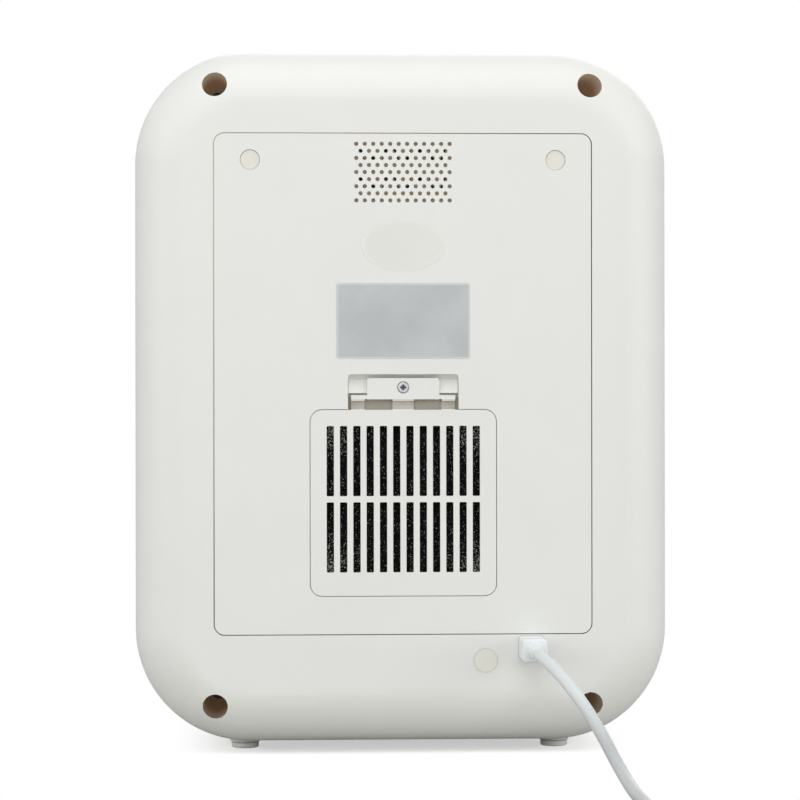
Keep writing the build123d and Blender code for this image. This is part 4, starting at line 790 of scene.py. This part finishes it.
# %% The latch screw, with painted shade in its cross and round its rim
screw_axis = (0.0, 217.9)
screw_reach = 3.8 * MM
screw_tones = [(0.0, 0.30), (0.36, 0.36), (0.46, 0.95), (0.74, 1.0), (0.86, 0.22), (1.0, 0.15)]


def screw_finish():
    """Bright steel with painted shade near the screw's middle and at its rim."""
    material = moulded(
        "latch_screw_steel", (0.62, 0.63, 0.65), 0.3, cloud=0.12, cloud_size=0.002, metal=0.9
    )
    tree, shader, coordinates = opened(material)
    flat = reckon(tree, "VectorMath", "MULTIPLY", coordinates, (1, 0, 1))["Vector"]
    axis = (screw_axis[0] * MM, 0, screw_axis[1] * MM)
    away = reckon(tree, "VectorMath", "DISTANCE", flat, axis)["Value"]
    stops = [(place, (tone, tone, tone)) for place, tone in screw_tones]
    rings = tone_ramp(tree, mapped(tree, away, 0.0, screw_reach), stops)
    overlay(tree, shader, rings, blend_type="MULTIPLY")
    return material


cross_radius = 2.0
cross_depths = (148.1, 148.98)
screw_mesh = joined_copy("vent_cover_screw")
for face in screw_mesh.faces:
    middle = face.calc_center_median() / MM
    off_axis = sqrt((middle.x - screw_axis[0]) ** 2 + (middle.z - screw_axis[1]) ** 2)
    # the faces of the cross get the dark steel of painted shade
    if off_axis < cross_radius and within(middle.y, cross_depths):
        face.material_index = 1
screw_finishes = [screw_finish(), painted_shade_steel]
latch_screw = show(
    screw_mesh, "latch_screw", "vent_cover", "screw_steel", screw_finishes, ("vent_cover_screw",)
)
soften(latch_screw, 0.1)
print("screw faces:", len(latch_screw.data.polygons))

# %% [markdown]
# ## Finishes of the pieces that keep their shape
# The remaining pieces are right as they come, and only need their finish. A dictionary from finish
# to piece names keeps this in one place.

# %% Give the other pieces their finishes
def wear(name, finish):
    """Gives a ready-made piece its one finish."""
    pieces[name].data.materials.clear()
    pieces[name].data.materials.append(finish)


finish_of = {
    # the shell's screws deep in their wells get painted shade
    painted_shade_steel: "shell_screws",
    screw_steel: "panel_screws hinge_pins door_magnets fan_motor fan_shaft",
    brushed_steel: "chamber_liner catch_plate",
    bright_wire: "lower_rack upper_rack",
    heater_metal: "heater",
    seal_rubber: "door_gasket",
    dark_plastic: "air_duct fan_cover exhaust_duct fan_wheel thermostat",
    air_plate_shade_and_glow: "exhaust_plate",
    inner_plastic: "door_inner hinge_arms rack_rails drip_tray door_sensor inlet_socket",
    board_green: "control_board power_board roof_lamp_board back_lamp_board",
    fascia_plastic: "touch_panel",
    paper: "oval_sticker",
    round_paper: "round_sticker",
    plug_rubber: "cord_relief mains_relief",
    pin_metal: "inlet_pins mains_pins",
}
for finish, names in finish_of.items():
    for name in names.split():
        wear(name, finish)
print("finished pieces:", sum(len(names.split()) for names in finish_of.values()))

# %% [markdown]
# ## Tinted glass
# The door's window is smoked glass, and the lamp covers are clear. Glass is a Principled shader
# with transmission, and the tint is the base colour. A trace of noise in the roughness stands for
# finger marks.

# %% Glass for the window and the lamps
def glass(name, tint, roughness):
    """A tinted glass with faintly uneven gloss."""
    material = moulded(name, tint, roughness, cloud=0.02, relief=0.000001)
    shader = material.node_tree.nodes["Principled BSDF"]
    shader.inputs["Transmission Weight"].default_value = 0.9
    shader.inputs["IOR"].default_value = 1.5
    return material


smoked_glass = glass("smoked_window_glass", (0.12, 0.12, 0.13), 0.06)
lamp_glass = glass("lamp_cover_glass", (0.86, 0.90, 0.95), 0.10)
wear("door_window", smoked_glass)
wear("roof_lamp_lens", lamp_glass)
wear("back_lamp_lens", lamp_glass)
print("glass:", smoked_glass.name, lamp_glass.name)

# %% [markdown]
# ## The metal plate
# The rating plate is a thin silvery foil, cool grey, with broad soft patches of painted reflection
# where it is not quite flat. It is left blank. Partly metallic with a wide highlight gives the foil
# its depth, large slow noise paints the patches, and the distance from the middle gives a painted
# highlight along its border.

# %% Foil for the rating plate
plate_middle = (0.0, 257.0)
plate_size = (78.2, 44.0)
border_starts, border_full = 1.0, 0.7


def foil_finish():
    """Cool grey foil with painted patches of reflection and a painted highlight along its border."""
    # painted reflection: the strong clouds paint the patches of an unflat foil
    material = moulded(
        "rating_plate_foil", (0.510, 0.533, 0.536), 0.42,
        cloud=0.07, cloud_size=0.03, relief=0.000006, metal=0.3,
    )
    tree, shader, coordinates = opened(material)
    edges = []
    for axis, middle, size in zip("XZ", plate_middle, plate_size):
        near, far = (size / 2 - border_starts) * MM, (size / 2 - border_full) * MM
        edges.append(beyond(tree, along(tree, coordinates, axis), middle * MM, near, far))
    border = reckon(tree, "Math", "MAXIMUM", *edges)["Value"]
    # painted highlight along the plate's border
    overlay(tree, shader, (0.62, 0.64, 0.64, 1), border)
    return material


plate_foil = foil_finish()
wear("rating_plate", plate_foil)
print("plate:", plate_foil.name)

# %% [markdown]
# ## The foam filter
# Behind the slots lies a block of coarse black foam. Its cut face is a mesh of struts, and the
# ones that face the light glint as pale specks, most of all in the corners where the foam bulges
# towards the cover. A deep grain roughens the block, and the glints are painted highlights: pale
# specks in the base colour where a fine noise peaks. The product of the distances along X and Z
# grows towards the corners, and more specks are painted there.

# %% Finish of the foam
foam_middle = (0.0, 152.0)
glint_scale, patch_scale = 1250, 90
patch_lift, corner_lift = 0.12, 0.13


def foam_finish():
    """Black foam with painted glints as pale specks, more of them towards the corners."""
    material = moulded(
        "black_filter_foam", (0.006, 0.006, 0.006), 0.8, cloud=0.2, grain=0.0009, relief=0.0004
    )
    tree, shader, coordinates = opened(material)
    shader.inputs["Specular IOR Level"].default_value = 0.08
    specks = noise_on(tree, coordinates, glint_scale)
    patches = noise_on(tree, coordinates, patch_scale)
    reach = []
    for axis, middle in zip("XZ", foam_middle):
        offset = reckon(tree, "Math", "SUBTRACT", along(tree, coordinates, axis), middle * MM)["Value"]
        reach.append(reckon(tree, "Math", "ABSOLUTE", offset)["Value"])
    corner = reckon(tree, "Math", "MULTIPLY", *reach)["Value"]
    more = mapped(tree, corner, 0.0007, 0.0018, 0.0, corner_lift)
    lift = reckon(tree, "Math", "MULTIPLY_ADD", patches, patch_lift, more)["Value"]
    level = reckon(tree, "Math", "ADD", specks, lift)["Value"]
    # painted highlight: the pale tone stands for the glints of the struts
    tones = [(0.68, (0.005, 0.005, 0.005)), (0.84, (0.70, 0.70, 0.68))]
    feed(tree, shader.inputs["Base Color"], tone_ramp(tree, level, tones))
    return material


foam_black = foam_finish()
wear("filter_foam", foam_black)
print("foam:", foam_black.name)

# %% [markdown]
# ## The floor
# The cabinet stands on a plain pale floor. The camera sees it as white, except close to the
# cabinet and round the coil, where it keeps their shadow. For light that bounces on to the
# cabinet it is a plain grey, a little paler near the feet, so it doesn't light the cabinet from
# below like a lamp.

# %% Finish of the floor
cabinet_shadow_x = (-0.004, 0.100, 0.150)
cabinet_shadow_y = (0.0, 0.120, 0.140)
coil_shadow = ((-0.068, 0.467, 0), 0.09, 0.14)


def outside(tree, coordinates, middle, near, far):
    """Rises from 0 to 1 as a place on the floor gets farther from a middle."""
    away = reckon(tree, "VectorMath", "DISTANCE", coordinates, middle)["Value"]
    return mapped(tree, away, near, far)


def floor_finish():
    """A pale floor that the camera sees as white, except in the cabinet's shadow."""
    material = bpy.data.materials.new("pale_floor")
    material.use_nodes = True
    tree = material.node_tree
    tree.nodes.clear()
    coordinates = add_node(tree, "TexCoord").outputs["Object"]
    near_and_far = [(0.0, (0.57, 0.565, 0.54)), (1.0, (0.48, 0.475, 0.455))]
    bounced = tone_ramp(tree, outside(tree, coordinates, (0, 0, 0), 0.15, 0.21), near_and_far)
    grey = add_node(tree, "BsdfDiffuse", {"Color": bounced})
    seen = add_node(tree, "BsdfDiffuse", {"Color": (0.78, 0.78, 0.78, 1)})
    glow = add_node(tree, "Emission", {"Strength": 0.52})
    shadowed = add_node(tree, "AddShader", {0: seen.outputs[0], 1: glow.outputs[0]})
    past_x = beyond(tree, along(tree, coordinates, "X"), *cabinet_shadow_x)
    past_y = beyond(tree, along(tree, coordinates, "Y"), *cabinet_shadow_y)
    past_cabinet = reckon(tree, "Math", "MAXIMUM", past_x, past_y)["Value"]
    past_coil = outside(tree, coordinates, *coil_shadow)
    far = reckon(tree, "Math", "MINIMUM", past_cabinet, past_coil)["Value"]
    white = add_node(tree, "Emission")
    seen_floor = add_node(tree, "MixShader", {0: far, 1: shadowed.outputs[0], 2: white.outputs[0]})
    is_seen = add_node(tree, "LightPath").outputs["Is Camera Ray"]
    mix = add_node(tree, "MixShader", {0: is_seen, 1: grey.outputs[0], 2: seen_floor.outputs[0]})
    add_node(tree, "OutputMaterial", {"Surface": mix.outputs[0]})
    return material


floor_material = floor_finish()
print("floor finish:", floor_material.name)

# %% [markdown]
# ## Laying the floor
# One square of a grid is enough, and it reaches far behind the camera.

# %% Lay the floor
floor_half = 6.0
floor_mesh = bmesh.new()
bmesh.ops.create_grid(floor_mesh, x_segments=1, y_segments=1, size=floor_half)
floor_data = bpy.data.meshes.new("studio_floor")
floor_mesh.to_mesh(floor_data)
floor_mesh.free()
floor_data.materials.append(floor_material)
studio_floor = bpy.data.objects.new("studio_floor", floor_data)
scene.collection.objects.link(studio_floor)
print("floor is", 2 * floor_half, "m square")

# %% [markdown]
# ## The backdrop
# A white room would light the cabinet from all sides. The world does both jobs: the camera, and
# the window's glass, see it as white, and every other ray gets a weaker, slightly cool base light.

# %% World
base_strength = 0.555
world = bpy.data.worlds.new("studio_world")
world.use_nodes = True
scene.world = world
tree = world.node_tree
tree.nodes.clear()
path = add_node(tree, "LightPath").outputs
base_light = add_node(tree, "Background", {"Color": (0.97, 0.985, 1.0, 1), "Strength": base_strength})
backdrop = add_node(tree, "Background", {"Color": (1, 1, 1, 1)})
either = reckon(tree, "Math", "MAXIMUM", path["Is Camera Ray"], path["Is Transmission Ray"])["Value"]
world_mix = add_node(tree, "MixShader", {0: either, 1: base_light.outputs[0], 2: backdrop.outputs[0]})
add_node(tree, "OutputWorld", {"Surface": world_mix.outputs[0]})
print("world strength", base_strength)

# %% [markdown]
# ## The lamps
# Soft studio light comes from large square lamps. One hangs above the back, one fills in from
# behind the camera, one stands at each side, the right one stronger, and one lights the door.

# %% Lamps
def soft_lamp(name, place, target, size, power):
    """A square area lamp at a place, turned towards a target."""
    data = bpy.data.lights.new(name, "AREA")
    data.shape = "SQUARE"
    data.size = size
    data.energy = power
    lamp = bpy.data.objects.new(name, data)
    scene.collection.objects.link(lamp)
    lamp.location = place
    lamp.rotation_mode = "QUATERNION"
    lamp.rotation_quaternion = (Vector(target) - Vector(place)).to_track_quat("-Z", "Y")
    return lamp


lamps = [
    soft_lamp("overhead_lamp", (0.1, 0.9, 1.9), (0, 0.1, 0.2), 1.6, 10.0),
    soft_lamp("fill_lamp", (0.5, 3.2, 1.2), (0, 0, 0.25), 2.4, 17.5),
    soft_lamp("left_lamp", (2.3, 1.3, 0.8), (0, 0.05, 0.2), 1.8, 17.6),
    soft_lamp("right_lamp", (-2.3, 1.3, 0.8), (0, 0.05, 0.2), 1.8, 22.3),
    soft_lamp("door_side_lamp", (-0.6, -2.6, 1.6), (0, 0, 0.2), 2.0, 22),
]
print("lamps:", [lamp.name for lamp in lamps])
